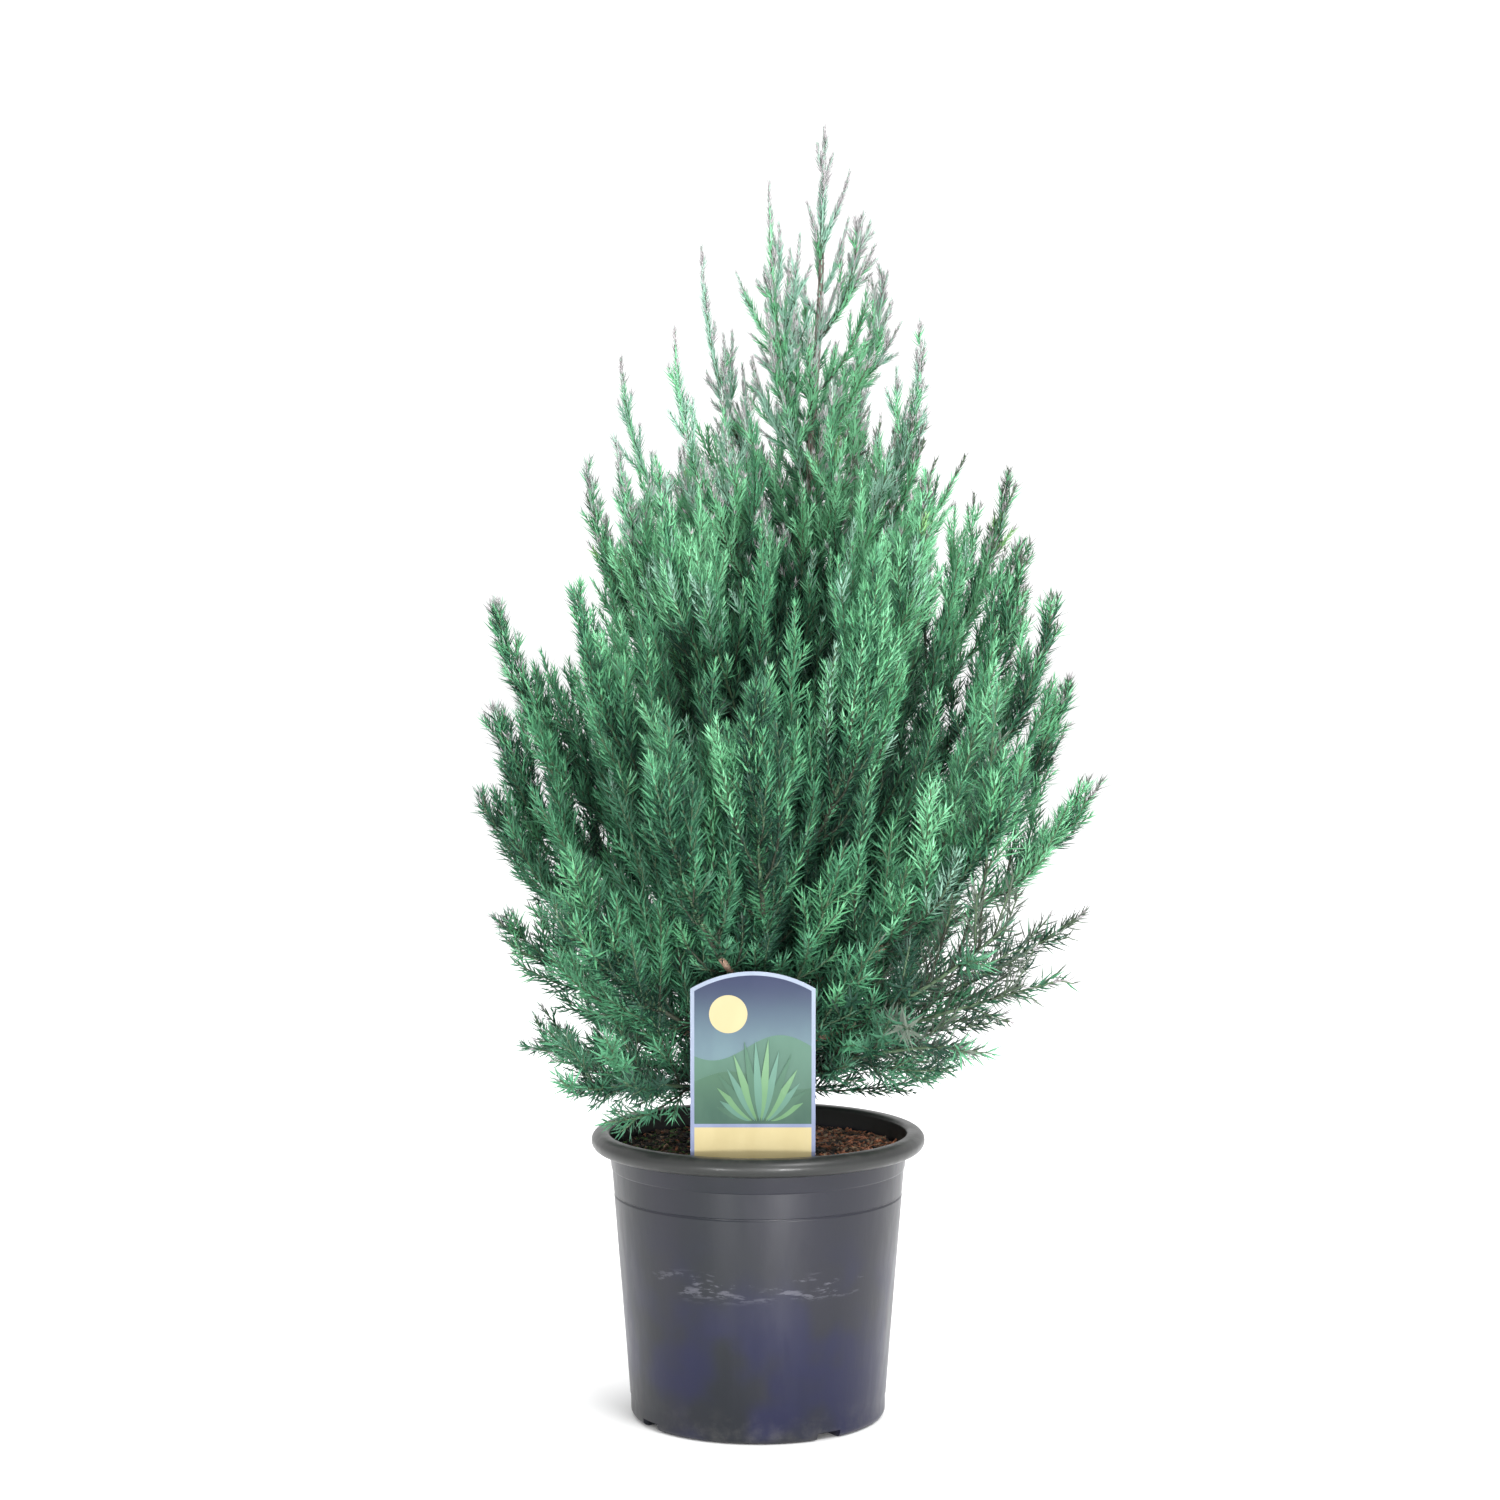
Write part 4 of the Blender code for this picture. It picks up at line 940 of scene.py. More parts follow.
STEM_RINGS, STEM_SIDES = 26, 6
STEM_END = 0.0006  # a limb's radius at its tip
STEM_GREEN = 0.60  # share of its stem that isn't brown
BOUGH_SHOOTS = 0.16  # share of a limb with a bare bough where its shoots begin
FACING_UPTURN = 1.0  # how much more upright shoots are where their limb points forwards or back
FACING_TAPER = 0.35  # how much shorter towards its tip
FACING_REACH = 0.050  # and how many metres longer everywhere
TIP_WHIP, TIP_GREY = 0.032, 0.011  # the least at the limbs' tips that make the outline
SLIM_FROM = 0.6  # shoots further along such a limb have the whip, too
SPARSE_FROM = (0.095, 0.072)  # every other shoot is missing further right than this, high and low
SPARSE_LOW = 0.33  # the height that parts high from low
SPARSE_BELOW = 0.43  # none is missing above this
ANGLE_SPREAD, REACH_SPREAD = (0.85, 1.15), (0.55, 1.35)
ROPES = (0.42, 0.58, 0.74, 0.90)  # where long upright shoots stand on facing limbs
ROPE_SHIFT = 0.06  # how far they may stand from there
ROPE_LENGTHS = (0.11, 0.18)
ROPE_LEANS = (0.4, 0.25)  # along the limb, and at most to a side
ROPE_UPTURN = 0.8
ROPE_SHARE = 0.8  # they are dressed like shoots this far up a limb
ROPE_FACING = 0.4  # limbs face the viewer or the back that point there more than this
ROPE_TIERS = ("low", "broad", "flank", "middle")


def habits_of(limb, facing):
    """How shoots grow on a limb near the trunk, and further to the right where it may droop."""
    close = far = HABITS[limb.kind()]
    if limb.tip.x > DROOP_BEYOND and limb.kind() in DROOP_TIERS:
        far = far._replace(**DROOP)
    upturn, taper = 1 + FACING_UPTURN * facing, 1 - FACING_TAPER * facing
    return [habit._replace(upturn=habit.upturn * upturn, taper=habit.taper * taper)
            for habit in (close, far)]


def dress_limb(limb, index, crown, needles, twigs):
    """Stem, side shoots and their twigs, each set with needles."""
    rng = random.Random(f"{SEED} fine {limb.name}")
    patch = Patch(index, crown, rng, needles, twigs)
    facing = abs((limb.tip - limb.foot).normalized().y)
    close, habit = habits_of(limb, facing)
    ropy = facing > ROPE_FACING and limb.kind() in ROPE_TIERS
    if ropy:
        close, habit = close._replace(grey=0.0), habit._replace(grey=0.0)
    slim = habit
    if facing < ROPE_FACING:
        slim = habit._replace(whip=max(habit.whip, TIP_WHIP), grey=max(habit.grey, TIP_GREY))
    bare = limb.fork > limb.start
    first = BOUGH_SHOOTS if bare else limb.fork
    line = as_array(limb.stretch(first if bare else 0.0, 1.0, STEM_RINGS))
    length = steps_along(line).sum()
    thick = TRUNK_TIP_RADIUS if limb.kind() == "leader" else STEM_RADIUS
    finishes = stem_finishes(STEM_RINGS - 1, STEM_GREEN, slim.grey / length)
    twigs.add_tube(line, np.linspace(thick, STEM_END, STEM_RINGS), STEM_SIDES, finishes)
    shade = deal_shade(habit, rng, stem=True)
    # painted shade: low limb tips, which face the key light, are duller and darker
    if limb.tip.z < LIT_BELOW:
        shade = DARKER[DULL[shade]]
    needles.line_twig(line, slim, slim.whip, shade, 0.0, rng, slim.grey)
    end = limb.stretch(first, 1.0, 41)
    end = [point for point in end if (limb.tip - point).length < habit.end][::4]
    if len(end) > 2:
        dress_shoot(patch, end, slim, 1.0)
    count = max(3, round(length / close.spacing))
    turn = rng.uniform(0, 360)
    for i in range(count):
        share = (i + 0.5) / count
        root = limb.at(first + (1 - first) * share)
        angle = habit.angles[0] + (habit.angles[1] - habit.angles[0]) * share
        angle *= rng.uniform(*ANGLE_SPREAD)
        heading = limb.heading(first + (1 - first) * share)
        direction = around(heading, turn + GOLDEN_ANGLE * i, angle)
        direction = (direction + UP * SPRAY_UPTURN).normalized()
        reach = SPRAY_LENGTH * (1 + (SPRAY_TIP_SHARE - 1) * share) * rng.uniform(*REACH_SPREAD)
        reach *= habit.reach * (SPRAY_SLENDER + (1 - SPRAY_SLENDER) * limb.needle)
        reach = min(reach, (limb.tip - root).length * habit.taper + FACING_REACH * facing)
        own = habit if root.x > DROOP_FROM else close
        seed = rng.random()
        sparse = root.x > SPARSE_FROM[root.z < SPARSE_LOW] and root.z < SPARSE_BELOW
        if i % 2 and (own.spacing > close.spacing or sparse):
            continue
        beyond = FACING_REACH * facing
        shoot = clear_shoot(limb, patch, root, direction, reach, own, beyond, seed)
        if shoot is not None:
            if share > SLIM_FROM:
                own = own._replace(whip=slim.whip)
            dress_shoot(patch, shoot, own, share)
    if ropy:
        raise_ropes(limb, patch._replace(crown=OpenAir()), habit._replace(upturn=ROPE_UPTURN))


def raise_ropes(limb, patch, habit):
    """Long upright shoots on a limb, which hide the crown's face behind ropes of needles."""
    for share in ROPES:
        aside = Vector((patch.rng.uniform(-1, 1), 0.0, 0.0)) * ROPE_LEANS[1]
        direction = (UP + limb.heading(share) * ROPE_LEANS[0] + aside).normalized()
        length = patch.rng.uniform(*ROPE_LENGTHS)
        root = limb.at(share + patch.rng.uniform(-ROPE_SHIFT, ROPE_SHIFT))
        seed = patch.rng.random()
        shoot = clear_shoot(limb, patch, root, direction, length, habit, length, seed)
        if shoot is not None:
            dress_shoot(patch, shoot, habit, ROPE_SHARE)


TRUNK_SHOOTS = {  # lowest and highest foot, how many, and the longest
    "low": (0.176, 0.270, 36, 0.095),
    "flank": (0.270, 0.340, 26, 0.110),
    "upper": (0.340, 0.470, 46, 0.115),
    "shoulder": (0.470, 0.590, 26, 0.078),
    "top": (0.598, 0.668, 7, 0.044),
}
TRUNK_ANGLES, TRUNK_LENGTHS = (42, 62), (0.75, 1.1)
TRUNK_UPTURN = 0.5  # over the tier's
TRUNK_SHARE = 0.6  # they are dressed like shoots this far up a limb
FRONT_TIERS = ("low", "flank")
FRONT_STRETCH = 0.7  # how much longer they are towards the viewer, over the label
TOP_SPREAD = 0.65  # how much closer to the trunk its topmost shoots stand
TRUNK_NEEDLES = (0.74, 0.90)  # the stretch that bears needles, over the leader's height
TRUNK_WHORL = 0.0022


def dress_trunk(tier, needles, twigs):
    """Short shoots that stand on the trunk between its limbs."""
    if tier not in TRUNK_SHOOTS:
        return
    habit, spread = HABITS[tier], 1.0
    if tier == "top":
        habit, spread = HABITS["leader"], TOP_SPREAD
        shares = np.linspace(*TRUNK_NEEDLES, 12)
        line = as_array([trunk_axis(LEADER_TOP * share) for share in shares])
        shade, whorled = SHADE_NUMBERS["needle_glaucous"], habit._replace(whorl=TRUNK_WHORL)
        needles.line_twig(line, whorled, 0.001, shade, 0.0, random.Random(SEED))
    low, high, count, longest = TRUNK_SHOOTS[tier]
    rng = random.Random(f"{SEED} trunk {tier}")
    patch = Patch(0, OpenAir(), rng, needles, twigs)
    turn = rng.uniform(0, 360)
    for i in range(count):
        foot = trunk_axis(low + (high - low) * (i + 0.5) / count)
        direction = around(UP, turn + GOLDEN_ANGLE * i, spread * rng.uniform(*TRUNK_ANGLES))
        length = longest * rng.uniform(*TRUNK_LENGTHS)
        if tier in FRONT_TIERS:
            length *= 1 + FRONT_STRETCH * max(0.0, -direction.y)
        upturn = habit.upturn * TRUNK_UPTURN
        shoot = shoot_line(foot, direction, length, upturn, SHOOT_STEPS, rng)
        if not hides_label(as_array(shoot)).any():
            dress_shoot(patch, shoot, habit, TRUNK_SHARE)


def grow_foliage(limbs):
    crown = Crown(limbs)
    needle_finishes = [plain_finish(name, colour, 0.48, Specular_IOR_Level=0.35)
                       for name, colour in SHADES.items()]
    twig_finishes = [plain_finish(name, colour, 0.8) for name, colour in TWIG_SHADES.items()]
    for tier in [tier.name for tier in TIERS] + ["top"]:
        needles, twigs = Needles(), Sheaf()
        members = []
        dress_trunk(tier, needles, twigs)
        for index, limb in enumerate(limbs):
            if limb.kind() == tier or (tier == "top" and limb.kind() == "leader"):
                dress_limb(limb, index, crown, needles, twigs)
                members.append(f"foliage_{limb.name}")
        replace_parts(needles.piece(f"needles_{tier}", needle_finishes), *members)
        stems = twigs.piece(f"twigs_{tier}", twig_finishes, "foliage", smooth=True)
        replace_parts(stems, *members)


# Bark

TRUNK_BARK = ((0.040, 0.031, 0.026), (0.12, 0.096, 0.080), (0.25, 0.215, 0.190))
BOUGH_BARK = ((0.10, 0.055, 0.035), (0.26, 0.155, 0.105), (0.45, 0.32, 0.24))
STRIPS = (2.2, 90)  # how many peeling strips there are round a limb, and how short they are
STRIP_DEPTHS = (0.8, 0.35)  # of the strips and of the finer furrows, over the depth asked for


def bark_tube(points, radii, sides, furrow, seed):
    """A limb with furrows and peeling strips that run along it."""
    verts, faces = tube_arrays(points, radii, sides)
    centre = np.repeat(points[:, None], sides, axis=1)
    out = verts.reshape(len(points), sides, 3) - centre
    for i, along in enumerate(run_along(points)):
        for j in range(sides):
            angle = 2 * math.pi * j / sides
            place = Vector((math.cos(angle) * STRIPS[0] + seed, math.sin(angle) * STRIPS[0],
                            along * STRIPS[1]))
            strip = abs(noise.noise(place)) * 2 - 0.45
            fine = noise.noise(place * 3.1)
            out[i, j] *= 1 + furrow * (STRIP_DEPTHS[0] * strip + STRIP_DEPTHS[1] * fine)
    return (centre + out).reshape(-1, 3), faces


def make_bark(limbs, grain):
    trunk_bark = bark_finish("bark_trunk", grain, *TRUNK_BARK)
    bough_bark = bark_finish("bark_bough", grain, *BOUGH_BARK)
    heights = TRUNK_FOOT + (TRUNK_TIP - TRUNK_FOOT) * np.linspace(0, 1, 260) ** 1.15
    points = as_array([trunk_axis(height) for height in heights])
    radii = np.array([trunk_radius(height) for height in heights])
    sheaf = Sheaf()
    sheaf.add(*bark_tube(points, radii, 26, 0.16, 0.0), 0)
    trunk = sheaf.piece("bark_trunk", [trunk_bark], "bark", smooth=True)
    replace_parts(trunk, "trunk")
    sheaf = Sheaf()
    names = []
    for number, limb in enumerate(limbs):
        if limb.fork > limb.start:
            points = as_array(limb.stretch(max(limb.start - 0.02, 0), limb.fork + 0.01, 60))
            radii = np.linspace(BOUGH_RADIUS, STEM_RADIUS, len(points))
            sheaf.add(*bark_tube(points, radii, 14, 0.12, number * 1.7), 0)
            names.append(f"bough_{limb.name}")
    boughs = sheaf.piece("bark_boughs", [bough_bark], "bark", smooth=True)
    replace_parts(boughs, *names)


# Pot

STEP_HEIGHT = 0.1425  # where the band under the rim ends
STEP_DEPTH = 0.0005
GROOVE_HEIGHT = 0.1276
GROOVE_DEPTH = 0.0004
RIM_ROUNDING = 0.0026  # inside the rim
INNER_FLOOR_RADIUS = 0.0640
FOOT_BEVEL = 0.0004
POT_FACETS = 128
POT_SHARP = 30.0  # degrees from which the pot's edges are sharp
BOX_CORNERS = (
    (-1, -1, -1), (1, -1, -1), (1, 1, -1), (-1, 1, -1),
    (-1, -1, 1), (1, -1, 1), (1, 1, 1), (-1, 1, 1),
)
BOX_FACES = np.array([
    (0, 2, 1), (0, 3, 2), (4, 5, 6), (4, 6, 7), (0, 1, 5), (0, 5, 4),
    (1, 2, 6), (1, 6, 5), (2, 3, 7), (2, 7, 6), (3, 0, 4), (3, 4, 7),
])


def arc(centre, radius, start, end, count):
    angles = [math.radians(start + (end - start) * i / (count - 1)) for i in range(count)]
    return [(centre[0] + radius * math.cos(a), centre[1] + radius * math.sin(a)) for a in angles]


def wall_radius(height):
    return WALL_FOOT_RADIUS + WALL_TAPER * height


def pot_profile():
    """Radius and height all round the pot's wall, from the middle of its floor and back."""
    under = POT_HEIGHT - RIM_DEPTH
    inside = [
        (0.0, WALL),
        (INNER_FLOOR_RADIUS, WALL),
        (wall_radius(FOOT_HEIGHT) - WALL, FOOT_HEIGHT),
        (wall_radius(STEP_HEIGHT) - WALL, STEP_HEIGHT),
        (RIM_INNER_RADIUS, under),
    ]
    top = (RIM_INNER_RADIUS + RIM_ROUNDING, POT_HEIGHT - RIM_ROUNDING)
    rim = arc(top, RIM_ROUNDING, 180, 90, 7)
    lip = RIM_DEPTH / 2
    rim += arc((RIM_RADIUS - lip, POT_HEIGHT - lip), lip, 86, -80, 16)
    outside = [(wall_radius(height) + out, height + up) for height, out, up in (
        (under, STEP_DEPTH + 0.0016, 0.0006),
        (under, STEP_DEPTH + 0.0003, -0.0002),
        (under, STEP_DEPTH, -0.0012),
        (STEP_HEIGHT, STEP_DEPTH, 0.0004),
        (STEP_HEIGHT, STEP_DEPTH * 0.7, 0.0),
        (STEP_HEIGHT, 0.0, -0.0005),
        (GROOVE_HEIGHT, 0.0, 0.0006),
        (GROOVE_HEIGHT, -GROOVE_DEPTH, 0.0001),
        (GROOVE_HEIGHT, -GROOVE_DEPTH, -0.0003),
        (GROOVE_HEIGHT, 0.0, -0.0010),
        (0.070, 0.0, 0.0),
        (FOOT_HEIGHT, 0.0, 0.0),
        (FOOT_HEIGHT, -FOOT_BEVEL, -0.0010),
    )]
    corner = wall_radius(FOOT_HEIGHT) - FOOT_BEVEL - FOOT_RADIUS
    foot = arc((FOOT_RADIUS, corner), corner, 0, -90, 7)
    return inside + rim + outside + foot + [(0.0, 0.0)]


def make_pot(finish):
    """The profile turned about Z, with notches cut out of its foot."""
    profile = [(radius, 0.0, height) for radius, height in pot_profile()]
    edges = [(i, i + 1) for i in range(len(profile) - 1)]
    pot = add_object("pot_turning", mesh_of("pot_turning", profile, [], edges=edges))
    screw = pot.modifiers.new("turn", "SCREW")
    screw.steps = screw.render_steps = POT_FACETS
    screw.use_merge_vertices = True
    screw.merge_threshold = 1e-5
    cutters = []
    length = RIM_RADIUS - NOTCH_INNER_RADIUS
    box = np.array(BOX_CORNERS) * (NOTCH_WIDTH / 2, length / 2, NOTCH_HEIGHT)
    for i in range(NOTCHES):
        azimuth = NOTCH_FIRST + 360 * i / NOTCHES
        cutter = add_object("notch", mesh_of("notch", box.tolist(), BOX_FACES.tolist()))
        cutter.location = outward(azimuth) * (NOTCH_INNER_RADIUS + length / 2)
        cutter.rotation_euler.z = math.radians(azimuth)
        cutters.append(cutter)
        cut = pot.modifiers.new("notch", "BOOLEAN")
        cut.operation = "DIFFERENCE"
        cut.object = cutter
    bpy.context.view_layer.update()
    evaluated = pot.evaluated_get(bpy.context.evaluated_depsgraph_get())
    mesh = bpy.data.meshes.new_from_object(evaluated)
    for scratch in [pot, *cutters]:
        bpy.data.objects.remove(scratch)
    mesh.materials.clear()
    mesh.materials.append(finish)
    mesh.shade_smooth()
    mesh.set_sharp_from_angle(angle=math.radians(POT_SHARP))
    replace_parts(piece_of("nursery_pot", mesh), "pot")


# Compost and chips of bark

SOIL_RINGS, SOIL_SPOKES = 60, 168
SOIL_STEP = 0.138  # height down to which the root ball is as wide as at the top
SOIL_FOOT_RADIUS = 0.0628
SOIL_ROUGHNESS = ((0.0016, 55), (0.0009, 160))  # height and fineness of hollows and crumbs
SOIL_SHADES = ((0.009, 0.007, 0.005), (0.040, 0.026, 0.016), (0.115, 0.074, 0.048))
CHIP_SHADES = {
    "chip_dark": (0.016, 0.013, 0.009),
    "chip_brown": (0.120, 0.068, 0.038),
    "chip_red": (0.440, 0.170, 0.085),
    "chip_tan": (0.420, 0.285, 0.180),
    "moss": (0.070, 0.150, 0.030),
}
CHIP_DARK, CHIP_PALE = 0.35, 1.6  # its darkest and palest parts, over its colour
CHIPS = 2600
CHIPS_RADIUS = 0.0825
CHIP_SIZES = ((0.002, 0.0075), (0.001, 0.0028), (0.0005, 0.0014))  # least and most
CHIP_CLEARANCES = (0.014, 0.004, 0.0012)  # from the trunk's axis, the label and the rim


def soil_height(x, y):
    """The uneven top of the compost: a low mound with hollows and crumbs."""
    share = min(math.hypot(x, y) / RIM_INNER_RADIUS, 1.0)
    rise = (SOIL_MOUND_HEIGHT - SOIL_EDGE_HEIGHT) * (1 - share**2)
    place = Vector((x, y, 0.0))
    rough = sum(high * noise.noise(place * fine) for high, fine in SOIL_ROUGHNESS)
    return SOIL_EDGE_HEIGHT + rise + rough * (1 - share**6)


def make_soil(grain):
    """The root ball, with a crumbled top."""
    edge = wall_radius(STEP_HEIGHT) - WALL - GAP
    foot = wall_radius(FOOT_HEIGHT) - WALL - GAP
    rings = [(edge * (i + 1) / SOIL_RINGS, None) for i in range(SOIL_RINGS)]
    rings += [(edge, SOIL_STEP), (foot, FOOT_HEIGHT), (SOIL_FOOT_RADIUS, WALL + GAP)]
    points = [(0.0, 0.0, soil_height(0, 0))]
    for radius, height in rings:
        for j in range(SOIL_SPOKES):
            angle = 2 * math.pi * j / SOIL_SPOKES
            x, y = radius * math.cos(angle), radius * math.sin(angle)
            points.append((x, y, soil_height(x, y) if height is None else height))
    points.append((0.0, 0.0, WALL + GAP))
    turns = [(j, (j + 1) % SOIL_SPOKES) for j in range(SOIL_SPOKES)]
    faces = [(0, 1 + j, 1 + k) for j, k in turns]
    for start in range(1, 1 + (len(rings) - 1) * SOIL_SPOKES, SOIL_SPOKES):
        after = start + SOIL_SPOKES
        faces += [(start + j, after + j, after + k, start + k) for j, k in turns]
    end = len(points) - 1
    faces += [(end - SOIL_SPOKES + k, end - SOIL_SPOKES + j, end) for j, k in turns]
    mesh = mesh_of("compost", points, faces, compost_finish("compost", grain, *SOIL_SHADES))
    mesh.shade_smooth()
    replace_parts(piece_of("compost", mesh), "soil")


def make_chips(grain):
    """Chips of bark that lie over the compost, redder to the right and darker to the left."""
    rng = random.Random(SEED + 1)
    finishes = []
    for name, colour in CHIP_SHADES.items():
        dark = tuple(value * CHIP_DARK for value in colour)
        pale = tuple(min(1.0, value * CHIP_PALE + 0.01) for value in colour)
        finishes.append(compost_finish(name, grain, dark, colour, pale, 0.5))
    off_trunk, off_label, off_rim = CHIP_CLEARANCES
    sheaf = Sheaf()
    for _ in range(CHIPS):
        radius = CHIPS_RADIUS * math.sqrt(rng.random())
        angle = rng.uniform(0, 2 * math.pi)
        x, y = radius * math.cos(angle), radius * math.sin(angle)
        beside = abs(x - LABEL_CENTRE_X) - LABEL_WIDTH / 2
        near_label = beside < off_label and abs(y - LABEL_Y) < off_label
        if near_label or math.hypot(x - TRUNK_FOOT_X, y) < off_trunk:
            continue
        right = min(max((x + 0.02) / 0.06, 0.0), 1.0)
        weights = (4 - 3 * right, 3, 0.3 + 4.2 * right, 0.4 + 1.2 * right, 1.4 * (1 - right))
        shade = rng.choices(range(len(finishes)), weights)[0]
        long, wide, thick = (rng.uniform(*sizes) for sizes in CHIP_SIZES)
        corners = [Vector((sx * long / 2 * rng.uniform(0.6, 1.1),
                           sy * wide / 2 * rng.uniform(0.5, 1.2),
                           sz * thick / 2 * rng.uniform(0.5, 1.2))) for sx, sy, sz in BOX_CORNERS]
        turn = Matrix.Rotation(rng.uniform(0, 2 * math.pi), 3, "Z")
        turn = turn @ Matrix.Rotation(rng.gauss(0, 0.35), 3, "X")
        turn = turn @ Matrix.Rotation(rng.gauss(0, 0.3), 3, "Y")
        place = Vector((x, y, soil_height(x, y) + thick * 0.25))
        points = as_array([place + turn @ corner for corner in corners])
        if np.hypot(points[:, 0], points[:, 1]).max() <= RIM_INNER_RADIUS - off_rim:
            sheaf.add(points, BOX_FACES, shade)
    sheaf.piece("bark_chips", finishes, "compost")


# Label

INKS = {  # the heights of the fade's foot and top, and the colours there
    "lilac": (0.16, 0.26, (0.11, 0.13, 0.21), (0.21, 0.245, 0.31)),
    "navy": (0.215, 0.262, (0.085, 0.135, 0.155), (0.013, 0.019, 0.052)),
    "cream": (0.16, 0.26, (0.30, 0.25, 0.125), (0.34, 0.295, 0.165)),
    "hill_far": (0.185, 0.230, (0.035, 0.080, 0.058), (0.055, 0.115, 0.085)),
    "hill_near": (0.180, 0.215, (0.018, 0.052, 0.036), (0.040, 0.092, 0.056)),
    "leaf_dark": (0.182, 0.220, (0.024, 0.064, 0.040), (0.044, 0.104, 0.068)),
    "leaf_pale": (0.182, 0.220, (0.056, 0.132, 0.056), (0.104, 0.200, 0.108)),
    "leaf_sea": (0.182, 0.220, (0.044, 0.108, 0.080), (0.080, 0.168, 0.128)),
}
LEAF_INKS = ("leaf_dark", "leaf_pale", "leaf_sea")
LEAF_LEANS = (  # degrees from upright, the back ones first
    -66, 60, -56, 50, -46, 40, -37, 31, -28, 22, -19, 13, -10, 5, -3,
)
LEAF_FOOT = (0.004, 0.1810)
LEAF_LENGTH, LEAF_WIDTH = 0.050, 0.0021
LEAF_POINTS, HILL_POINTS, DOME_POINTS, SUN_POINTS = 13, 25, 33, 40
INK = 0.00006  # how thick a layer of ink is
BORDER = 0.0022  # between the picture and the card's edge
PICTURE_FOOT = 0.1795
CREAM_HEIGHTS = (0.1595, 0.1775)
SUN_PLACE, SUN_RADIUS = (-0.0135, 0.2400), 0.0105
HILL_FAR = (0.042, 0.007, 0.3)  # height, swell and phase
HILL_NEAR = (0.024, 0.005, 2.6)


def label_outline(inset=0.0, low=LABEL_SHOULDER):
    """The card's outline above a height, brought in by an inset."""
    half = LABEL_WIDTH / 2
    dome_radius = (half**2 + LABEL_DOME**2) / (2 * LABEL_DOME)
    reach = math.degrees(math.asin((half - inset) / (dome_radius - inset)))
    centre = (0.0, LABEL_TOP - dome_radius)
    dome = arc(centre, dome_radius - inset, 90 - reach, 90 + reach, DOME_POINTS)
    return dome + [(-half + inset, low), (half - inset, low)]


def stake_outline():
    """The stake below the card, from its left side to its right."""
    half = LABEL_STAKE_WIDTH / 2
    neck = (half, LABEL_SHOULDER - LABEL_STAKE_NECK)
    point = (half, LABEL_STAKE_FOOT + half)
    return [(-neck[0], neck[1]), (-point[0], point[1]), (0.0, LABEL_STAKE_FOOT), point, neck]


def flat_shape(name, outline, ahead, thickness, finish):
    """A flat outline in the card's plane. Its front stands ahead of the middle of the card."""
    count = len(outline)
    front, back = LABEL_Y - ahead, LABEL_Y - ahead + thickness
    points = [(LABEL_CENTRE_X + x, y, z) for y in (front, back) for x, z in outline]
    faces = [tuple(range(count - 1, -1, -1)), tuple(range(count, 2 * count))]
    faces += [(i, (i + 1) % count, (i + 1) % count + count, i + count) for i in range(count)]
    return piece_of(name, mesh_of(name, points, faces, finish))


def leaf_outline(x, z, angle, length, width):
    """A pointed leaf that grows from a point at an angle from upright."""
    up = (math.sin(math.radians(angle)), math.cos(math.radians(angle)))
    side = (up[1], -up[0])
    shares = [i / (LEAF_POINTS - 1) for i in range(LEAF_POINTS)]
    rim = [(share * length, width * math.sin(math.pi * share**0.8)) for share in shares]
    rim += [(along, -out) for along, out in rim[-2:0:-1]]
    return [(x + up[0] * a + side[0] * h, z + up[1] * a + side[1] * h) for a, h in rim]


def hill_outline(half, height, swell, phase):
    """A rolling hill across the card."""
    across = [half * (2 * i / (HILL_POINTS - 1) - 1) for i in range(HILL_POINTS)]
    ridge = [(x, PICTURE_FOOT + height + swell * math.sin(phase + 85 * x)) for x in across]
    return [(-half, PICTURE_FOOT), (half, PICTURE_FOOT)] + ridge[::-1]


def make_label(grain):
    """A domed card on a stake. Its front has a plain leafy design and no lettering."""
    half = LABEL_THICKNESS / 2
    inks = {name: print_finish(f"card_{name}", grain, *ink) for name, ink in INKS.items()}
    outline = label_outline()
    outline = outline[:-1] + stake_outline() + outline[-1:]
    card = flat_shape("label_card", outline, half, LABEL_THICKNESS, inks["lilac"])
    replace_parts(card, "plant_label")
    x = LABEL_WIDTH / 2 - BORDER
    low, high = CREAM_HEIGHTS
    prints = [  # name, outline, layer over the card, layers thick, ink
        ("sky", label_outline(BORDER, PICTURE_FOOT), 1, 1, "navy"),
        ("foot", [(-x, low), (x, low), (x, high), (-x, high)], 1, 1, "cream"),
        ("sun", arc(SUN_PLACE, SUN_RADIUS, 0, 351, SUN_POINTS), 2, 2, "cream"),
        ("hill_far", hill_outline(x, *HILL_FAR), 2, 1, "hill_far"),
        ("hill_near", hill_outline(x, *HILL_NEAR), 3, 1, "hill_near"),
    ]
    for i, lean in enumerate(LEAF_LEANS):
        length = LEAF_LENGTH - 0.00046 * abs(lean) - 0.002 * (i % 3)
        leaf = leaf_outline(LEAF_FOOT[0] + 0.00010 * lean, LEAF_FOOT[1], lean, length, LEAF_WIDTH)
        prints.append((f"leaf_{i + 1}", leaf, 4 + i, 1, LEAF_INKS[i % 3]))
    for name, outline, layer, thick, ink in prints:
        flat_shape(f"label_{name}", outline, half + layer * INK, thick * INK, inks[ink])


# Floor, light and camera

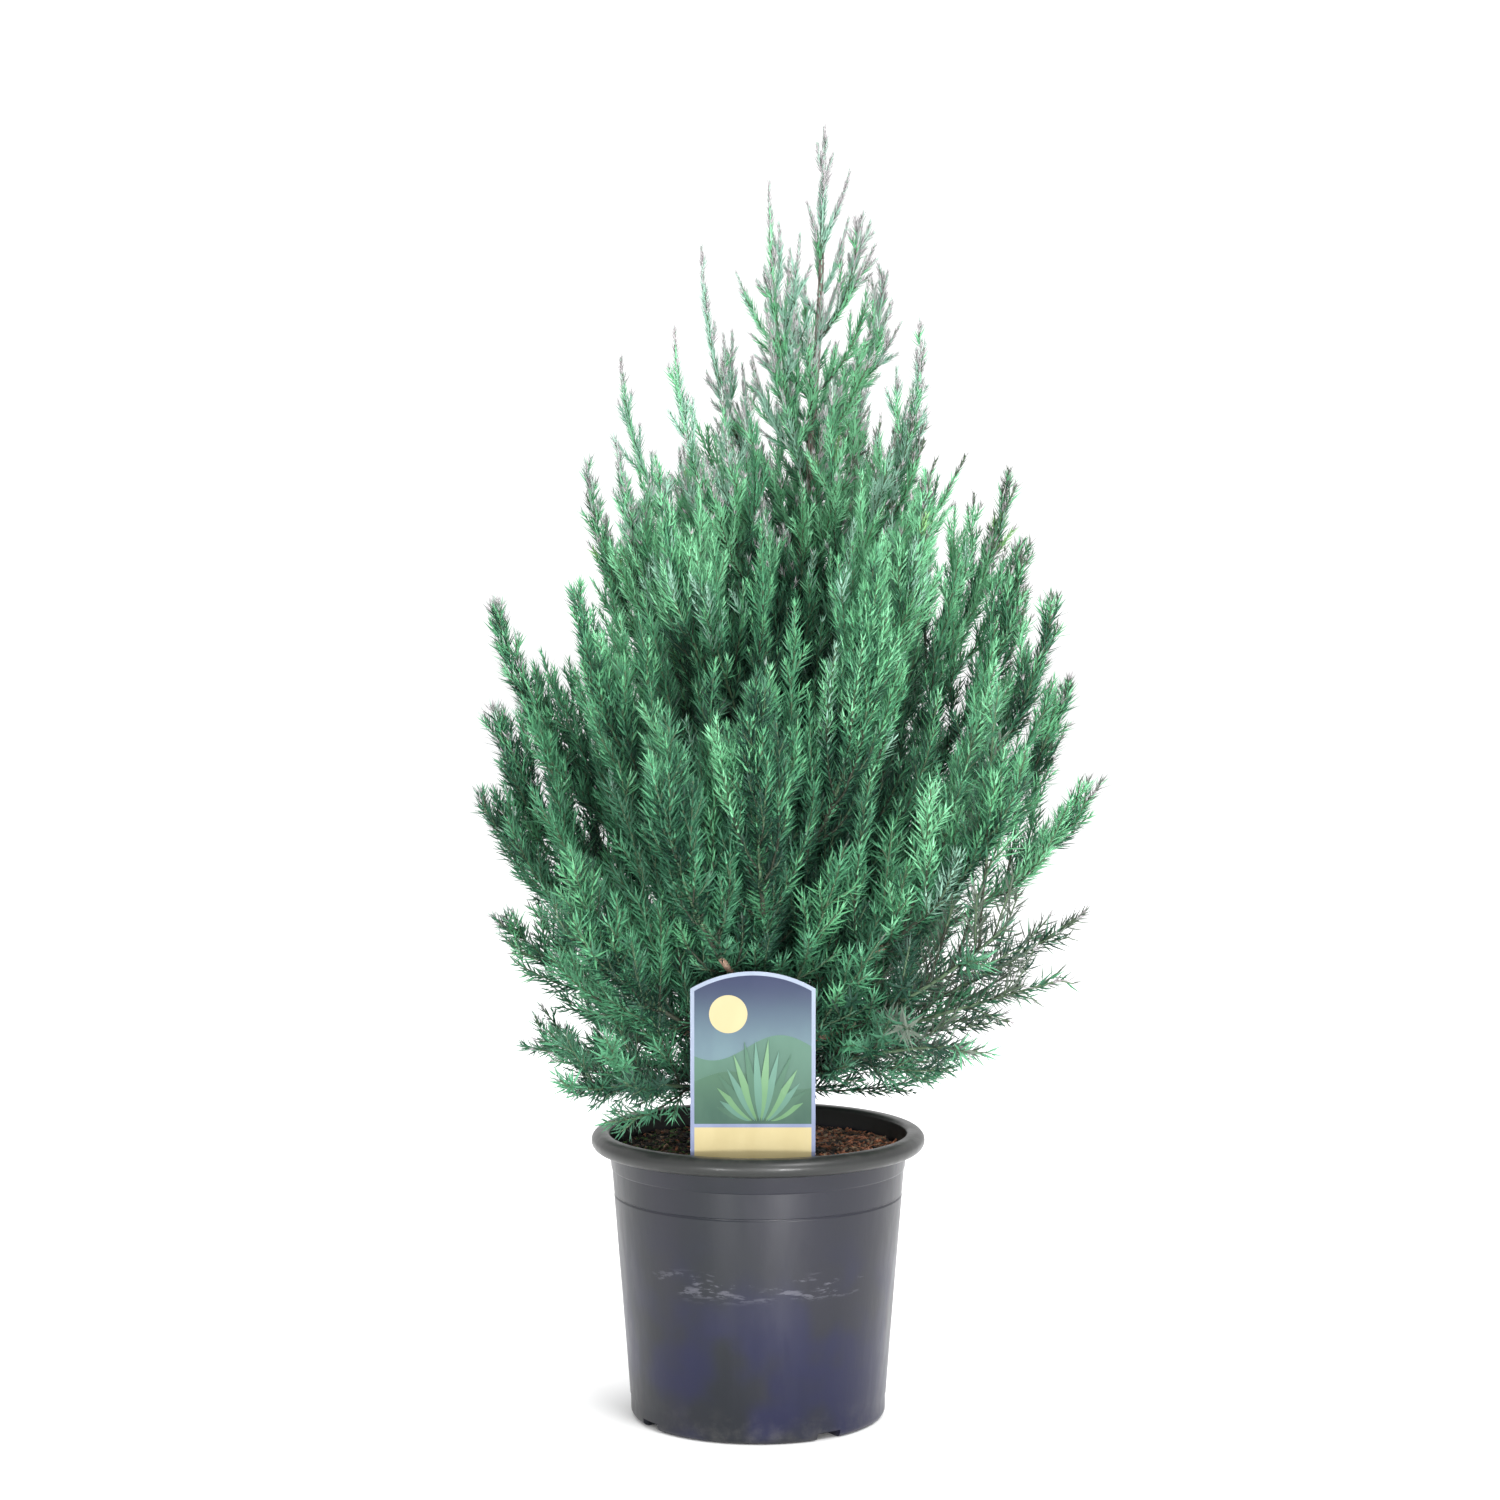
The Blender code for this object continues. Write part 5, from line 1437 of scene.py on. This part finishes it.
CAMERA_PLACE = (-0.0046, -1.8477, 0.5033)
CAMERA_PITCH = 0.0668  # radians below level
FOCAL_PIXELS = 3272.0
PHOTO_PIXELS = 1500.0
SENSOR = 36.0
FLOOR_HALF = 12.0
FLOOR_DROP = 0.0002  # how far the floor lies under the pot
SKY = 1.14
LIGHTS = {  # place, aim, width, height where it isn't a disc, and power
    "key": ((1.2, -1.9, 2.5), (0, 0, 0.45), 1.4, None, 64),
    "fill": ((0.25, -2.2, 0.50), (0, 0, 0.30), 1.2, None, 13),
    "strip_left": ((-0.39, -0.89, 0.06), (0, 0, 0.07), 0.04, 0.10, 2.8),
    "strip_right": ((0.30, -0.95, 0.06), (0, 0, 0.07), 0.04, 0.10, 6.0),
    "top": ((0.3, 0.5, 2.6), (0, 0, 0.5), 1.4, None, 52),
}


def make_camera():
    data = bpy.data.cameras.new("camera")
    data.sensor_fit = "HORIZONTAL"
    data.sensor_width = SENSOR
    data.lens = FOCAL_PIXELS * SENSOR / PHOTO_PIXELS
    camera = add_object("camera", data)
    camera.location = CAMERA_PLACE
    camera.rotation_euler = (math.pi / 2 - CAMERA_PITCH, 0.0, 0.0)
    bpy.context.scene.camera = camera


def make_stage():
    pale = plain_finish("floor_pale", (0.90, 0.90, 0.90), 0.9, Specular_IOR_Level=0.0)
    corners = [(x * FLOOR_HALF, y * FLOOR_HALF, 0) for x, y, _ in BOX_CORNERS[:4]]
    floor = add_object("floor", mesh_of("floor", corners, [(0, 1, 2, 3)], pale))
    floor.location.z = -FLOOR_DROP


def make_world():
    world = bpy.data.worlds.new("studio")
    world.use_nodes = True
    sky = world.node_tree.nodes["Background"].inputs
    sky["Color"].default_value = (1.0, 1.0, 1.0, 1.0)
    sky["Strength"].default_value = SKY
    bpy.context.scene.world = world


def make_lights():
    for name, (place, aim, width, height, power) in LIGHTS.items():
        data = bpy.data.lights.new(name, "AREA")
        data.shape = "RECTANGLE" if height else "DISK"
        data.size = width
        if height:
            data.size_y = height
        data.energy = power
        lamp = add_object(name, data)
        lamp.location = place
        lamp.rotation_euler = (Vector(aim) - Vector(place)).to_track_quat("-Z", "Y").to_euler()


make_camera()
make_stage()
make_world()
make_lights()
bpy.context.scene.view_settings.view_transform = "Standard"

grain = grain_group()
dust = dust_group()
limbs = grow_limbs()
make_bark(limbs, grain)
grow_foliage(limbs)
make_pot(plastic_finish(grain, dust))
make_soil(grain)
make_chips(grain)
make_label(grain)
